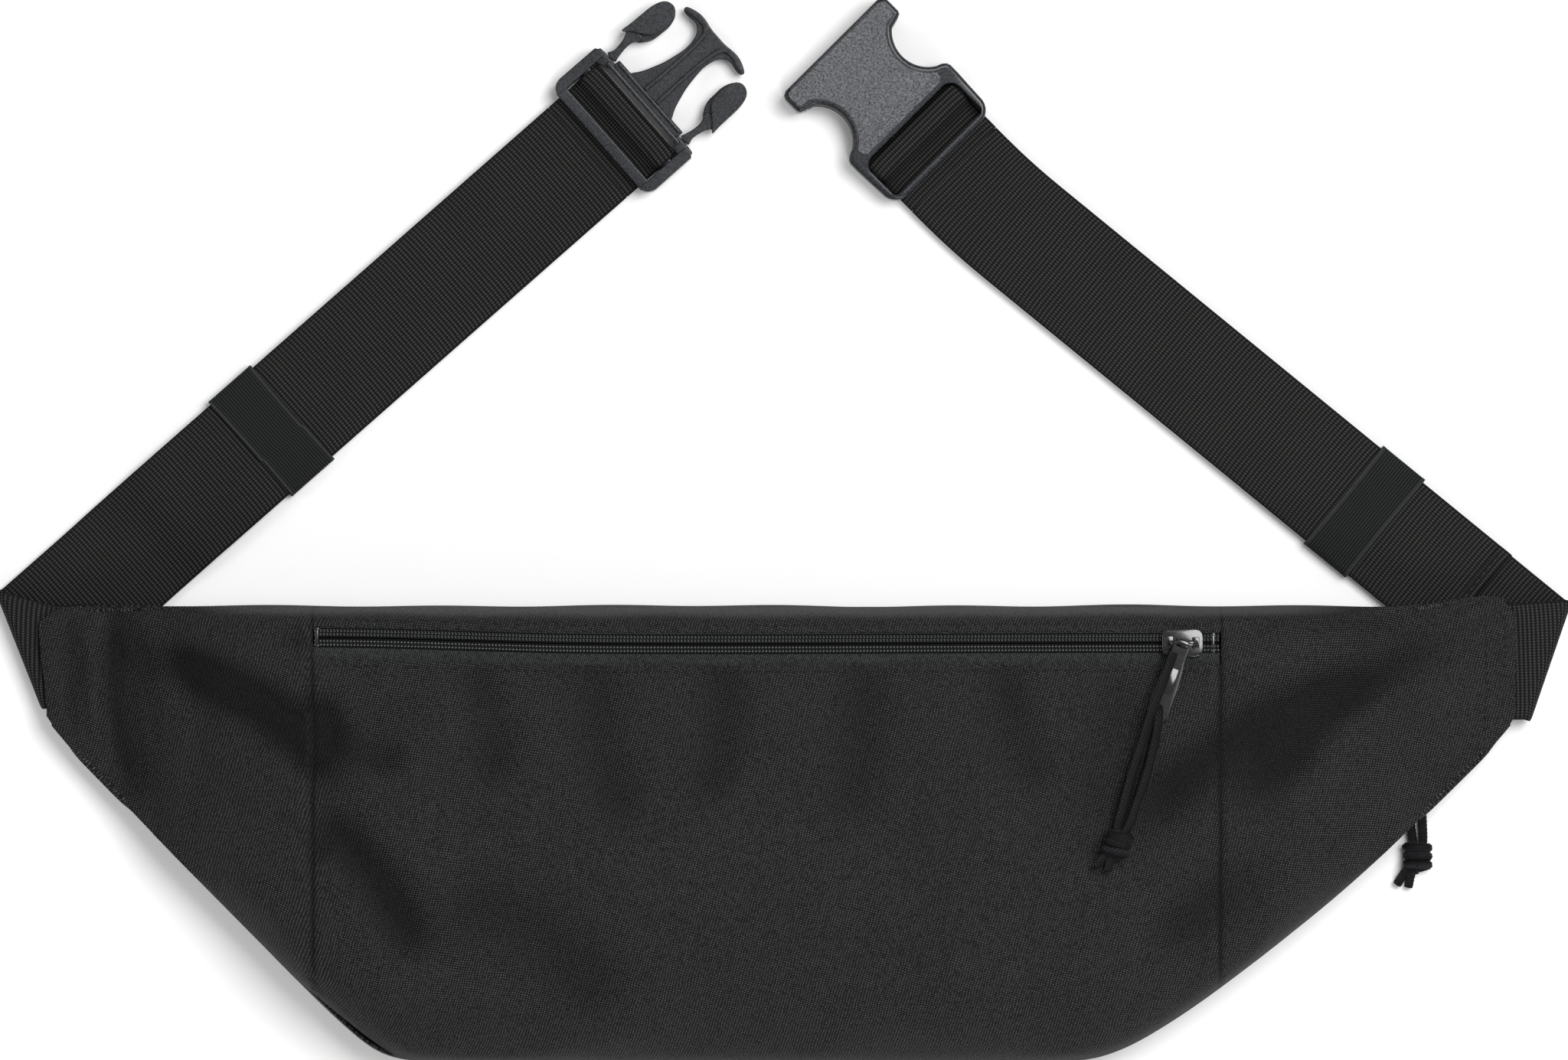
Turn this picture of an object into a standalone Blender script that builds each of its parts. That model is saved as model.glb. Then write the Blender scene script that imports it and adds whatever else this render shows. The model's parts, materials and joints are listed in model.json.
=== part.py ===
"""Money belt: a hip bag on a webbing belt, lying flat on its back.

Metres, +Z up. +X runs along the bag to its right end, +Y towards the belt and its buckle, and +Z
out of the front panel. The bag is built round its own middle, and the empty "money_belt" then
moves it so that the origin is the centre of the face of the back panel that it lies on.
"""

import math

import bmesh
import bpy
from mathutils import Matrix, Vector

mm = 0.001

# ---------------------------------------------------------------- bag body
BAG_LEFT = -233.5 * mm  # left end seam
BAG_RIGHT = 231.6 * mm  # right end seam
TOP_Y = 71.8 * mm  # straight top edge
BOTTOM_Y = -71.8 * mm  # straight bottom edge
END_Y = 35.6 * mm  # lower corner of both ends
LEFT_CORNER_X = -128.0 * mm  # where the left slant meets the bottom
RIGHT_CORNER_X = 104.5 * mm
SLANT_BULGE = 6.0 * mm  # the right slant is slightly round
CORNER_SOFTNESS = 8.0 * mm
LEFT_SEAM_X = -148.0 * mm  # front pocket between these two seams
RIGHT_SEAM_X = 137.3 * mm
DEPTH = 38.0 * mm  # front face above the table, in the middle
CROWN = 2.0 * mm  # how far the pocket bulges above that
RIM = 20.0 * mm  # height of the seam between front and gusset
FULL_DEPTH_X = 150.0 * mm  # the bag keeps its depth this far from the middle
THIN_X = 222.0 * mm  # and is down to its end seam here
RIM_RISE_X = 184.0 * mm  # from here the seam climbs to meet the front face
RIM_RISE_RUN = 31.0 * mm
TOP_ROUND = 5.0 * mm
BOTTOM_ROUND = 26.0 * mm
CLOTH = 1.0 * mm
GAP = 0.3 * mm  # between pieces that touch
SEAM_ALLOWANCE = 2.2 * mm  # the gusset stops this far short of the edge that is sewn over it
BACK_LIFT = 7.0 * mm  # the back stands this high over its own straps and pull cord
REST_Y = -55.0 * mm  # middle of the part of the back that lies on the table
REST_TOP_Y = -38.0 * mm
REST_HALF_X = 90.0 * mm
LIFT_RUN_X = 45.0 * mm
LIFT_RUN_Y = 16.0 * mm
GUSSET_END_X = 212.0 * mm
DIVIDER_Z = 26.0 * mm
DIVIDER_INSET = 9.0 * mm
PANEL_STEP = 9.0 * mm

# ---------------------------------------------------------------- zips
ZIP_Y = 60.7 * mm
REAR_ZIP_Y = 58.0 * mm
FABRIC_EDGE = 5.6 * mm  # from the zip's middle to the folded edge of the cloth on each side
TAPE_HALF = 9.2 * mm
TAPE_UPPER_HALF = 5.0 * mm
TAPE_THICK = 0.6 * mm
COIL_HALF = 3.1 * mm
COIL_THICK = 1.5 * mm
ZIP_SLOT = 0.8 * mm  # half of the slot that the slider's post runs in
FRONT_COIL = (-146.0 * mm, 134.0 * mm)
REAR_COIL = (-188.0 * mm, 205.5 * mm)
FRONT_TAPE = (-147.8 * mm, 137.1 * mm)
REAR_TAPE = (-200.0 * mm, 214.0 * mm)
STOP_LENGTH = 1.1 * mm
SLIDER_LENGTH = 13.0 * mm
SLIDER_WIDTH = 8.8 * mm
SLIDER_PLATE = 1.0 * mm
POST_LENGTH = 3.0 * mm
FRONT_SLIDER_X = 125.2 * mm
BAR_RADIUS = 0.7 * mm
BAR_HALF = 3.4 * mm
EYE_CLEARANCE = 0.3 * mm
EYE_WALL = 0.8 * mm
EYE_HALF = 1.5 * mm
TAB_LENGTH = 26.5 * mm
TAB_HALF_WIDTH = 3.5 * mm
TAB_NECK_HALF = 2.0 * mm
TAB_NECK_RUN = 8.0 * mm
TAB_THICK = 1.5 * mm
TAB_HOLE_RADIUS = 1.7 * mm
FRONT_TAB_TURN = math.radians(-20.0)
REAR_TAB_TURN = math.radians(-3.0)
CORD_DIAMETER = 3.0 * mm

# ---------------------------------------------------------------- belt
WEBBING_WIDTH = 38.0 * mm
REAR_SLIDER_X = 226.3 * mm - 0.75 * WEBBING_WIDTH  # closed, the rear slider clears the right belt
WEBBING = 1.4 * mm
ELASTIC = 1.0 * mm
ELASTIC_PLAY = 0.2 * mm
LOWER_LAYER_Z = ELASTIC + ELASTIC_PLAY + WEBBING / 2
UPPER_LAYER_Z = LOWER_LAYER_Z + WEBBING + GAP
WING_Z = BACK_LIFT + CLOTH + 0.4 * mm + WEBBING / 2
FOLD_Z = (WING_Z + LOWER_LAYER_Z) / 2
WING_SEAM = 11.0 * mm  # how far the webbing reaches into the end seam
LEFT_FOLD = Vector((-241.3 * mm, 58.5 * mm))
RIGHT_FOLD = Vector((241.8 * mm, 54.9 * mm))
LEFT_HEADING = math.radians(41.35)
RIGHT_HEADING = math.radians(140.75)
LEFT_FOLD_ANGLE = math.radians(111.5)
RIGHT_FOLD_ANGLE = math.radians(71.0)
LEFT_STRAP = 239.0 * mm  # from fold to where the buckle tilts
RIGHT_STRAP = 244.5 * mm
LEFT_TURN = 0.0
RIGHT_TURN = math.radians(-5.9)
TURN_RUN = 34.0 * mm
LEFT_TAIL_END = 70.0 * mm
RIGHT_TAIL_END = 30.5 * mm
TILT_GAP = 0.9 * mm
TILT_Z = (LOWER_LAYER_Z + UPPER_LAYER_Z) / 2
LEFT_KEEPER_AT = 104.6 * mm
RIGHT_KEEPER_AT = 74.4 * mm
LEFT_KEEPER_WIDTH = 18.0 * mm
RIGHT_KEEPER_WIDTH = 17.3 * mm

# ---------------------------------------------------------------- buckle
TAIL_EDGE = 4.0 * mm  # from the tilt line to the end of each buckle half
RAIL = 3.8 * mm
RAIL_PLAY = 0.4 * mm
CENTRE_BAR = (14.0 * mm, 18.2 * mm)
CENTRE_BAR_Z = (3.2 * mm, 6.2 * mm)
MALE_FRAME_END = 24.5 * mm
MALE_FRAME_THICK = 8.4 * mm
TAIL_BAR_WIDTH = 3.8 * mm
TAIL_BAR_TOP = 8.2 * mm
FRONT_BAR_START = 21.2 * mm
FRONT_BAR_Z = (0.6 * mm, 7.6 * mm)
BAR_UNDER_Z = UPPER_LAYER_Z + WEBBING / 2 + GAP
GUIDE_END = 55.0 * mm
GUIDE_Z = (1.9 * mm, 6.5 * mm)
PRONG_Z = (0.6 * mm, 7.9 * mm)
STEM_HALF = 1.2 * mm
STEM_V = WEBBING_WIDTH / 2 - 0.8 * mm
FEMALE_LENGTH = 50.7 * mm
FEMALE_THICK = 12.5 * mm
FEMALE_HALF = WEBBING_WIDTH / 2 + RAIL_PLAY + 3.2 * mm
MOUTH_WALL = 2.2 * mm
MOUTH_DEPTH = 29.5 * mm
MOUTH_HALF = FEMALE_HALF - 3.0 * mm
WINDOW = (6.2 * mm, 23.0 * mm)

BLACK = (0.018, 0.018, 0.019, 1.0)
MATERIALS = {
    "bag_cloth": (BLACK, 0.82, 0.0),
    "lining": ((0.03, 0.03, 0.032, 1.0), 0.8, 0.0),
    "webbing": ((0.015, 0.015, 0.016, 1.0), 0.6, 0.0),
    "elastic": ((0.022, 0.024, 0.023, 1.0), 0.9, 0.0),
    "zip_tape": ((0.02, 0.022, 0.021, 1.0), 0.75, 0.0),
    "zip_coil": ((0.02, 0.02, 0.022, 1.0), 0.45, 0.0),
    "zip_metal": ((0.01, 0.01, 0.012, 1.0), 0.18, 0.8),
    "cord": ((0.02, 0.021, 0.028, 1.0), 0.7, 0.0),
    "buckle_plastic": ((0.03, 0.031, 0.034, 1.0), 0.42, 0.0),
}


# ---------------------------------------------------------------- scene and helpers
def clear_scene():
    for obj in list(bpy.data.objects):
        bpy.data.objects.remove(obj, do_unlink=True)


def make_material(name):
    colour, roughness, metallic = MATERIALS[name]
    material = bpy.data.materials.new(name)
    material.use_nodes = True
    shader = material.node_tree.nodes["Principled BSDF"]
    shader.inputs["Base Color"].default_value = colour
    shader.inputs["Roughness"].default_value = roughness
    shader.inputs["Metallic"].default_value = metallic
    material.diffuse_color = colour
    return material


clear_scene()
parts = bpy.data.collections.new("money_belt")
bpy.context.scene.collection.children.link(parts)
materials = {name: make_material(name) for name in MATERIALS}


def empty(name, location, turn=0.0, flip=0.0, parent=None):
    """An axis or a frame: turned about Z, then flipped about its own X."""
    frame = bpy.data.objects.new(name, None)
    frame.empty_display_size = 0.01
    parts.objects.link(frame)
    frame.parent = parent
    frame.matrix_local = (
        Matrix.Translation(location) @ Matrix.Rotation(turn, 4, "Z") @ Matrix.Rotation(flip, 4, "X")
    )
    return frame


def node(name, mesh, material, parent):
    obj = bpy.data.objects.new(name, mesh)
    mesh.materials.clear()
    mesh.materials.append(materials[material])
    mesh.shade_smooth()
    mesh.set_sharp_from_angle(angle=math.radians(35))
    parts.objects.link(obj)
    obj.parent = parent
    return obj


def mesh_of(bm):
    bmesh.ops.recalc_face_normals(bm, faces=bm.faces)
    mesh = bpy.data.meshes.new("mesh")
    bm.to_mesh(mesh)
    bm.free()
    return mesh


def block(low, high, bevel=0.0):
    """A box between two corners, with its edges rounded."""
    low, high = Vector(low), Vector(high)
    bm = bmesh.new()
    size = Matrix.Diagonal((*(high - low), 1))
    bmesh.ops.create_cube(bm, size=1, matrix=Matrix.Translation((low + high) / 2) @ size)
    if bevel:
        bmesh.ops.bevel(bm, geom=bm.edges[:], offset=bevel, segments=2, profile=0.5, affect="EDGES")
    return mesh_of(bm)


def mirrored(points):
    """A closed outline from its half above the X axis."""
    return [*points, *[(x, -y) for x, y in reversed(points)]]


def arc(centre, radius, start, end, steps):
    """Points on an arc between two angles in degrees."""
    return [
        (
            centre[0] + radius * math.cos(math.radians(start + (end - start) * i / steps)),
            centre[1] + radius * math.sin(math.radians(start + (end - start) * i / steps)),
        )
        for i in range(steps + 1)
    ]


def rod(start, end, radius, sides=16):
    """A cylinder between two points."""
    start, end = Vector(start), Vector(end)
    along = end - start
    place = Matrix.Translation((start + end) / 2) @ along.to_track_quat("Z", "Y").to_matrix().to_4x4()
    bm = bmesh.new()
    bmesh.ops.create_cone(
        bm, cap_ends=True, segments=sides, radius1=radius, radius2=radius, depth=along.length, matrix=place
    )
    return mesh_of(bm)


def evaluated_mesh(obj):
    graph = bpy.context.evaluated_depsgraph_get()
    mesh = bpy.data.meshes.new_from_object(obj.evaluated_get(graph))
    bpy.data.objects.remove(obj, do_unlink=True)
    return mesh


def weld(mesh):
    bm = bmesh.new()
    bm.from_mesh(mesh)
    bmesh.ops.remove_doubles(bm, verts=bm.verts, dist=0.00001)
    return mesh_of(bm)


def helper(mesh):
    obj = bpy.data.objects.new("helper", mesh)
    bpy.context.scene.collection.objects.link(obj)
    return obj


def plate(outline, low, high):
    """A flat outline in X and Y, filled and extruded from one height to another."""
    curve = bpy.data.curves.new("outline", "CURVE")
    curve.dimensions = "2D"
    curve.fill_mode = "BOTH"
    curve.extrude = (high - low) / 2
    spline = curve.splines.new("POLY")
    spline.points.add(len(outline) - 1)
    for point, (x, y) in zip(spline.points, outline):
        point.co = (x, y, 0, 1)
    spline.use_cyclic_u = True
    mesh = weld(evaluated_mesh(helper(curve)))
    mesh.transform(Matrix.Translation((0, 0, (low + high) / 2)))
    return mesh


def combine(base, others, operation="UNION"):
    """The base mesh with the others joined to it, or cut from it."""
    body = helper(base)
    tools = [helper(other) for other in others]
    for tool in tools:
        modifier = body.modifiers.new("combine", "BOOLEAN")
        modifier.object = tool
        modifier.operation = operation
    mesh = evaluated_mesh(body)
    for tool in tools:
        bpy.data.objects.remove(tool, do_unlink=True)
    return mesh


def smooth_path(route, steps):
    """Points on a smooth curve through the route's own points."""
    ends = [route[0] * 2 - route[1], *route, route[-1] * 2 - route[-2]]
    points = []
    for a, b, c, d in zip(ends, ends[1:], ends[2:], ends[3:]):
        for step in range(steps):
            t = step / steps
            points.append(
                0.5
                * (2 * b + (c - a) * t + (2 * a - 5 * b + 4 * c - d) * t**2 + (3 * b - a - 3 * c + d) * t**3)
            )
    return [*points, route[-1]]


def tube_curve(points, radius):
    curve = bpy.data.curves.new("tube", "CURVE")
    curve.dimensions = "3D"
    curve.bevel_depth = radius
    curve.bevel_resolution = 2
    curve.use_fill_caps = True
    spline = curve.splines.new("POLY")
    spline.points.add(len(points) - 1)
    for point, place in zip(spline.points, points):
        point.co = (*place, 1)
    return curve


def cord_node(name, route, frame, steps=3):
    """A stretch of cord along a route given in the bag's own frame."""
    curve = tube_curve(smooth_path([Vector(point) * mm for point in route], steps), CORD_DIAMETER / 2)
    curve.materials.append(materials["cord"])
    obj = bpy.data.objects.new(name, curve)
    parts.objects.link(obj)
    keep_place(obj, frame)
    return obj


def keep_place(obj, frame):
    """Parents an object whose shape is given in the bag's frame."""
    bpy.context.view_layer.update()
    obj.parent = frame
    obj.matrix_parent_inverse = frame.matrix_world.inverted() @ bag.matrix_world


def smooth_step(t):
    t = min(max(t, 0.0), 1.0)
    return t * t * (3 - 2 * t)


def quarter_round(t):
    """0 at a seam to 1 where the cloth is flat, on a quarter circle."""
    t = min(max(t, 0.0), 1.0)
    return math.sqrt(1 - (1 - t) ** 2)


# ---------------------------------------------------------------- shape of the bag
def bottom_edge(x):
    """The lower outline: a straight bottom between two slanted sides."""
    left_slope = (END_Y - BOTTOM_Y) / (BAG_LEFT - LEFT_CORNER_X)
    right_slope = (END_Y - BOTTOM_Y) / (BAG_RIGHT - RIGHT_CORNER_X)
    left = BOTTOM_Y + left_slope * (x - LEFT_CORNER_X)
    along = min(max((x - RIGHT_CORNER_X) / (BAG_RIGHT - RIGHT_CORNER_X), 0.0), 1.0)
    right = BOTTOM_Y + right_slope * (x - RIGHT_CORNER_X) - SLANT_BULGE * math.sin(math.pi * along)
    side = max(left, right)
    apart = side - BOTTOM_Y
    return BOTTOM_Y + (apart + math.hypot(apart, CORNER_SOFTNESS)) / 2 - CORNER_SOFTNESS / 8


def back_height(x, y):
    """The back lies flat near the bottom and stands clear of the table elsewhere."""
    across = smooth_step((abs(x) - REST_HALF_X) / LIFT_RUN_X)
    up = smooth_step((y - REST_TOP_Y) / LIFT_RUN_Y)
    return BACK_LIFT * (1 - (1 - across) * (1 - up))


def front_plane(x):
    """Height of the front face, from its full depth in the middle to the end seams."""
    thin = WING_Z + WEBBING / 2 + GAP + CLOTH
    return DEPTH - (DEPTH - thin) * smooth_step((abs(x) - FULL_DEPTH_X) / (THIN_X - FULL_DEPTH_X))


def rim_height(x):
    rising = smooth_step((abs(x) - RIM_RISE_X) / RIM_RISE_RUN)
    return RIM + (front_plane(x) - RIM) * rising


def front_height(x, y):
    rim = rim_height(x)
    edge = quarter_round((TOP_Y - y) / TOP_ROUND) * quarter_round((y - bottom_edge(x)) / BOTTOM_ROUND)
    across = max(0.0, 1 - (x / RIGHT_SEAM_X) ** 2)
    up = max(0.0, 1 - ((y + 0.09 * TOP_Y) / (0.76 * TOP_Y)) ** 2)
    return rim + (front_plane(x) - rim) * edge + CROWN * across * up


def stations(low, high):
    """X values every few millimetres, the same for all panels so that their edges agree."""
    count = math.floor(high / PANEL_STEP) - math.ceil(low / PANEL_STEP)
    between = [(math.ceil(low / PANEL_STEP) + i) * PANEL_STEP for i in range(count + 1)]
    return [low, *[x for x in between if low + 0.5 * mm < x < high - 0.5 * mm], high]


def panel(name, ends, rows, place, offset, material="bag_cloth"):
    """A sheet of cloth: a grid shaped by place(x, v), then given its thickness."""
    xs = stations(*ends)
    bm = bmesh.new()
    bmesh.ops.create_grid(bm, x_segments=len(xs) - 1, y_segments=rows, size=1)
    for vertex in bm.verts:
        x = xs[round((vertex.co.x + 1) / 2 * (len(xs) - 1))]
        vertex.co = place(x, (vertex.co.y + 1) / 2)
    mesh = bpy.data.meshes.new(name)
    bm.to_mesh(mesh)
    bm.free()
    obj = node(name, mesh, material, bag)
    thickness = obj.modifiers.new("cloth", "SOLIDIFY")
    thickness.thickness = CLOTH
    thickness.offset = offset
    thickness.use_even_offset = True
    return obj


def sheet(name, ends, low, high, height, rows, offset, spread=1.0, material="bag_cloth"):
    """A panel between two edges low(x) and high(x), at height(x, y)."""

    def place(x, v):
        y = low(x) + (high(x) - low(x)) * v**spread
        return Vector((x, y, height(x, y)))

    return panel(name, ends, rows, place, offset, material)


def wall(name, edge, low, high, ends, rows, offset):
    """A gusset that stands on the edge y = edge(x)."""

    def place(x, v):
        return Vector((x, edge(x), low(x) + (high(x) - low(x)) * v))

    return panel(name, ends, rows, place, offset)


def make_bag():
    half_gap = GAP / 2
    lower_edge = ZIP_Y - FABRIC_EDGE
    upper_edge = ZIP_Y + FABRIC_EDGE - 0.9 * mm
    pocket = (LEFT_SEAM_X + half_gap, RIGHT_SEAM_X - half_gap)
    sheet("front_pocket_panel", pocket, bottom_edge, lambda x: lower_edge, front_height, 8, -1, 1.6)
    sheet("front_top_strip", pocket, lambda x: upper_edge, lambda x: TOP_Y, front_height, 4, -1, 0.6)
    wings = {
        "left_wing_panel": (BAG_LEFT, LEFT_SEAM_X - half_gap),
        "right_wing_panel": (RIGHT_SEAM_X + half_gap, BAG_RIGHT),
    }
    for name, ends in wings.items():

        def place(x, v):
            eased = (1 - math.cos(math.pi * v)) / 2
            y = bottom_edge(x) + (TOP_Y - bottom_edge(x)) * eased
            return Vector((x, y, front_height(x, y)))

        panel(name, ends, 10, place, -1)

    ends = (BAG_LEFT, BAG_RIGHT)
    below_zip, above_zip = REAR_ZIP_Y - FABRIC_EDGE, REAR_ZIP_Y + FABRIC_EDGE
    sheet("back_panel", ends, bottom_edge, lambda x: below_zip, back_height, 9, 1)
    sheet("back_top_strip", ends, lambda x: above_zip, lambda x: TOP_Y, back_height, 1, 1)
    gusset = (-GUSSET_END_X, GUSSET_END_X)

    def seat(edge):
        return lambda x: back_height(x, edge(x)) + CLOTH + 2 * GAP

    def under_rim(x):
        return rim_height(x) - SEAM_ALLOWANCE

    wall("top_gusset", lambda x: TOP_Y, seat(lambda x: TOP_Y), under_rim, gusset, 2, 1)
    wall("bottom_gusset", bottom_edge, seat(bottom_edge), under_rim, gusset, 2, -1)
    sheet(
        "pocket_divider",
        (LEFT_SEAM_X + 2 * mm, RIGHT_SEAM_X - 2 * mm),
        lambda x: bottom_edge(x) + DIVIDER_INSET,
        lambda x: TOP_Y - DIVIDER_INSET,
        lambda x, y: DIVIDER_Z,
        2,
        -1,
        1.0,
        "lining",
    )


# ---------------------------------------------------------------- zips
COIL_IN_TAPE = 0.25 * mm  # the coil is sewn this far clear of its tape's face
COIL_TOP = -CLOTH - GAP + COIL_IN_TAPE + COIL_THICK
EYE_RADIUS = BAR_RADIUS + EYE_CLEARANCE + EYE_WALL
BAR_Z = COIL_TOP + GAP + SLIDER_PLATE + GAP + EYE_RADIUS


def make_zip(prefix, frame, tape, coil, slider_x, tab_turn):
    """One zip in its own frame: X along it, Z out of the cloth, and the cloth's face at z = 0."""
    tape_top = -CLOTH - GAP
    coil_low, coil_top = tape_top + COIL_IN_TAPE, COIL_TOP
    for side, name, reach in ((-1, "lower", TAPE_HALF), (1, "upper", TAPE_UPPER_HALF)):
        edges = sorted((side * ZIP_SLOT, side * reach))
        low = (tape[0], edges[0], tape_top - TAPE_THICK)
        high = (tape[1], edges[1], tape_top)
        node(f"{prefix}_zip_tape_{name}", block(low, high), "zip_tape", frame)
        edges = sorted((side * ZIP_SLOT, side * COIL_HALF))
        low = (coil[0], edges[0], coil_low)
        high = (coil[1], edges[1], coil_top)
        node(f"{prefix}_zip_coil_{name}", block(low, high, 0.4 * mm), "zip_coil", frame)
    for name, start in (("left", coil[0] - GAP - STOP_LENGTH), ("right", coil[1] + GAP)):
        low = (start, -COIL_HALF, coil_low)
        high = (start + STOP_LENGTH, COIL_HALF, coil_top)
        node(f"{prefix}_zip_stop_{name}", block(low, high, 0.25 * mm), "zip_metal", frame)
    slider_frame = empty(f"{prefix}_slider_frame", (slider_x, 0, 0), parent=frame)
    plate_low = coil_top + GAP
    inner_top = tape_top - TAPE_THICK - GAP
    half, wide = SLIDER_LENGTH / 2, SLIDER_WIDTH / 2
    outline = mirrored([(-half, wide - 0.8 * mm), (half - 2.2 * mm, wide), (half, wide - 2.4 * mm)])
    top = plate(outline, plate_low, plate_low + SLIDER_PLATE)
    bottom = plate(outline, inner_top - SLIDER_PLATE, inner_top)
    post_low = (half - POST_LENGTH - 1 * mm, -ZIP_SLOT + GAP, inner_top - 0.3 * mm)
    post_high = (half - 1 * mm, ZIP_SLOT - GAP, plate_low + 0.3 * mm)
    bar = rod((-BAR_HALF, 0, BAR_Z), (BAR_HALF, 0, BAR_Z), BAR_RADIUS)
    leg = Vector((0.8 * mm, 0.9 * mm, 0))
    leg_low, leg_high = plate_low + SLIDER_PLATE / 2, BAR_Z + BAR_RADIUS
    legs = [
        block(Vector((x, 0, leg_low)) - leg, Vector((x, 0, leg_high)) + leg)
        for x in (-BAR_HALF, BAR_HALF)
    ]
    slider = combine(top, [bottom, block(post_low, post_high), bar, *legs])
    node(f"{prefix}_zip_slider", slider, "zip_metal", slider_frame)

    pull_frame = empty(f"{prefix}_pull_axis", (0, 0, BAR_Z), parent=slider_frame)
    end_y = -TAB_LENGTH + TAB_HALF_WIDTH
    outline = [(TAB_NECK_HALF, -0.6 * mm), (-TAB_NECK_HALF, -0.6 * mm), (-TAB_HALF_WIDTH, -TAB_NECK_RUN)]
    outline += [*arc((0, end_y), TAB_HALF_WIDTH, 180, 360, 10), (TAB_HALF_WIDTH, -TAB_NECK_RUN)]
    tab = plate(outline, -TAB_THICK / 2, TAB_THICK / 2)
    tab.transform(Matrix.Rotation(tab_turn, 4, "Z"))
    eye = rod((-EYE_HALF, 0, 0), (EYE_HALF, 0, 0), EYE_RADIUS, 20)
    bore = rod((-9 * mm, 0, 0), (9 * mm, 0, 0), BAR_RADIUS + EYE_CLEARANCE, 20)
    hole_at = Matrix.Rotation(tab_turn, 4, "Z") @ Vector((0, end_y, 0))
    hole = rod(hole_at - Vector((0, 0, 4 * mm)), hole_at + Vector((0, 0, 4 * mm)), TAB_HOLE_RADIUS, 20)
    tab = combine(combine(tab, [eye]), [bore, hole], "DIFFERENCE")
    node(f"{prefix}_pull_tab", tab, "zip_metal", pull_frame)
    return empty(f"{prefix}_cord_axis", hole_at, parent=pull_frame)


def on_front(route):
    """Points in millimetres whose heights are given above the front face."""
    return [(x, y, height + DEPTH / mm) for x, y, height in route]


def make_knot(name, centre, size, tails, frame):
    """The overhand knot that ties both legs of a pull cord, with its two short tails."""
    bm = bmesh.new()
    shape = Matrix.Translation(Vector(centre) * mm) @ Matrix.Diagonal((*(Vector(size) * mm / 2), 1))
    bmesh.ops.create_uvsphere(bm, u_segments=16, v_segments=10, radius=1, matrix=shape)
    ends = []
    for tail in tails:
        curve = tube_curve([Vector(centre) * mm, Vector(tail) * mm], CORD_DIAMETER / 2)
        ends.append(weld(evaluated_mesh(helper(curve))))
    knot = node(name, combine(mesh_of(bm), ends), "cord", None)
    keep_place(knot, frame)


def make_zips():
    front = empty("front_zip_frame", (0, ZIP_Y, DEPTH), parent=bag)
    axis = make_zip("front", front, FRONT_TAPE, FRONT_COIL, FRONT_SLIDER_X, FRONT_TAB_TURN)
    over = (BAR_Z + TAB_THICK / 2 + GAP + CORD_DIAMETER / 2) / mm  # height of cord lying on the tab
    upper = [(122.2, 57.6, over), (120.0, 51.5, over), (117.9, 45.8, over)]
    cord_node("front_cord_upper", on_front(upper), axis.parent)
    left = [(117.3, 44.3, over), (115.0, 38.2, over), (112.4, 29.5, 4.9), (109.3, 20.0, 4.7),
            (106.8, 11.0, 5.0), (105.0, 4.6, 5.4)]
    right = [(117.2, 34.2, 4.4), (116.3, 29.0, 4.0), (114.0, 20.0, 4.4), (111.0, 11.0, 4.9),
             (108.6, 4.2, 5.3)]
    cord_node("front_cord_left_leg", on_front(left), axis)
    cord_node("front_cord_right_leg", on_front(right), axis)
    centre, *tails = on_front([(104.6, -2.4, 7.0), (98.4, -8.6, 5.6), (102.4, -10.2, 5.6)])
    make_knot("front_cord_knot", centre, (9.0, 9.6, 7.6), tails, axis)

    rear = empty("rear_zip_frame", (0, REAR_ZIP_Y, BACK_LIFT), flip=math.pi, parent=bag)
    axis = make_zip("rear", rear, REAR_TAPE, REAR_COIL, REAR_SLIDER_X, math.pi + REAR_TAB_TURN)
    left = [(197.2, 30.2, 2.6), (197.3, 25.0, 2.0), (197.5, 15.0, 1.8), (198.6, 5.0, 1.8),
            (199.6, -2.2, 2.2)]
    right = [(200.8, 30.6, 2.6), (201.2, 25.0, 2.0), (202.0, 15.0, 1.8), (202.6, 5.0, 1.8),
             (202.8, -2.2, 2.2)]
    cord_node("rear_cord_left_leg", left, axis)
    cord_node("rear_cord_right_leg", right, axis)
    tails = [(194.4, -15.6, 1.8), (198.4, -16.8, 1.8)]
    make_knot("rear_cord_knot", (201.0, -7.8, 3.4), (10.4, 9.6, 6.2), tails, axis)


# ---------------------------------------------------------------- belt
def plan(s, length, turn):
    """Where the belt's middle runs in its own frame: straight, then turned a little to its buckle."""
    start = length - TURN_RUN
    x, y, heading, walked = min(s, start), 0.0, 0.0, start
    while s - walked > 1e-9:
        step = min(1 * mm, s - walked)
        walked += step
        heading = turn * smooth_step((walked - start) / TURN_RUN)
        x += step * math.cos(heading)
        y += step * math.sin(heading)
    return Vector((x, y, 0)), heading


def ribbon(name, profile, frame, place):
    """A strip of webbing: a side view of (distance, height) points, swept across its width."""
    bm = bmesh.new()
    rows = []
    for s, z in profile:
        centre, heading = place(s)
        across = Vector((-math.sin(heading), math.cos(heading), 0)) * WEBBING_WIDTH / 2
        lift = Vector((0, 0, z))
        rows.append([bm.verts.new(centre - across + lift), bm.verts.new(centre + across + lift)])
    for (a, b), (c, d) in zip(rows, rows[1:]):
        bm.faces.new((a, c, d, b))
    mesh = bpy.data.meshes.new(name)
    bm.to_mesh(mesh)
    bm.free()
    obj = node(name, mesh, "webbing", frame)
    modifier = obj.modifiers.new("webbing", "SOLIDIFY")
    modifier.thickness = WEBBING
    modifier.offset = 0
    modifier.use_even_offset = True
    return obj


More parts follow.
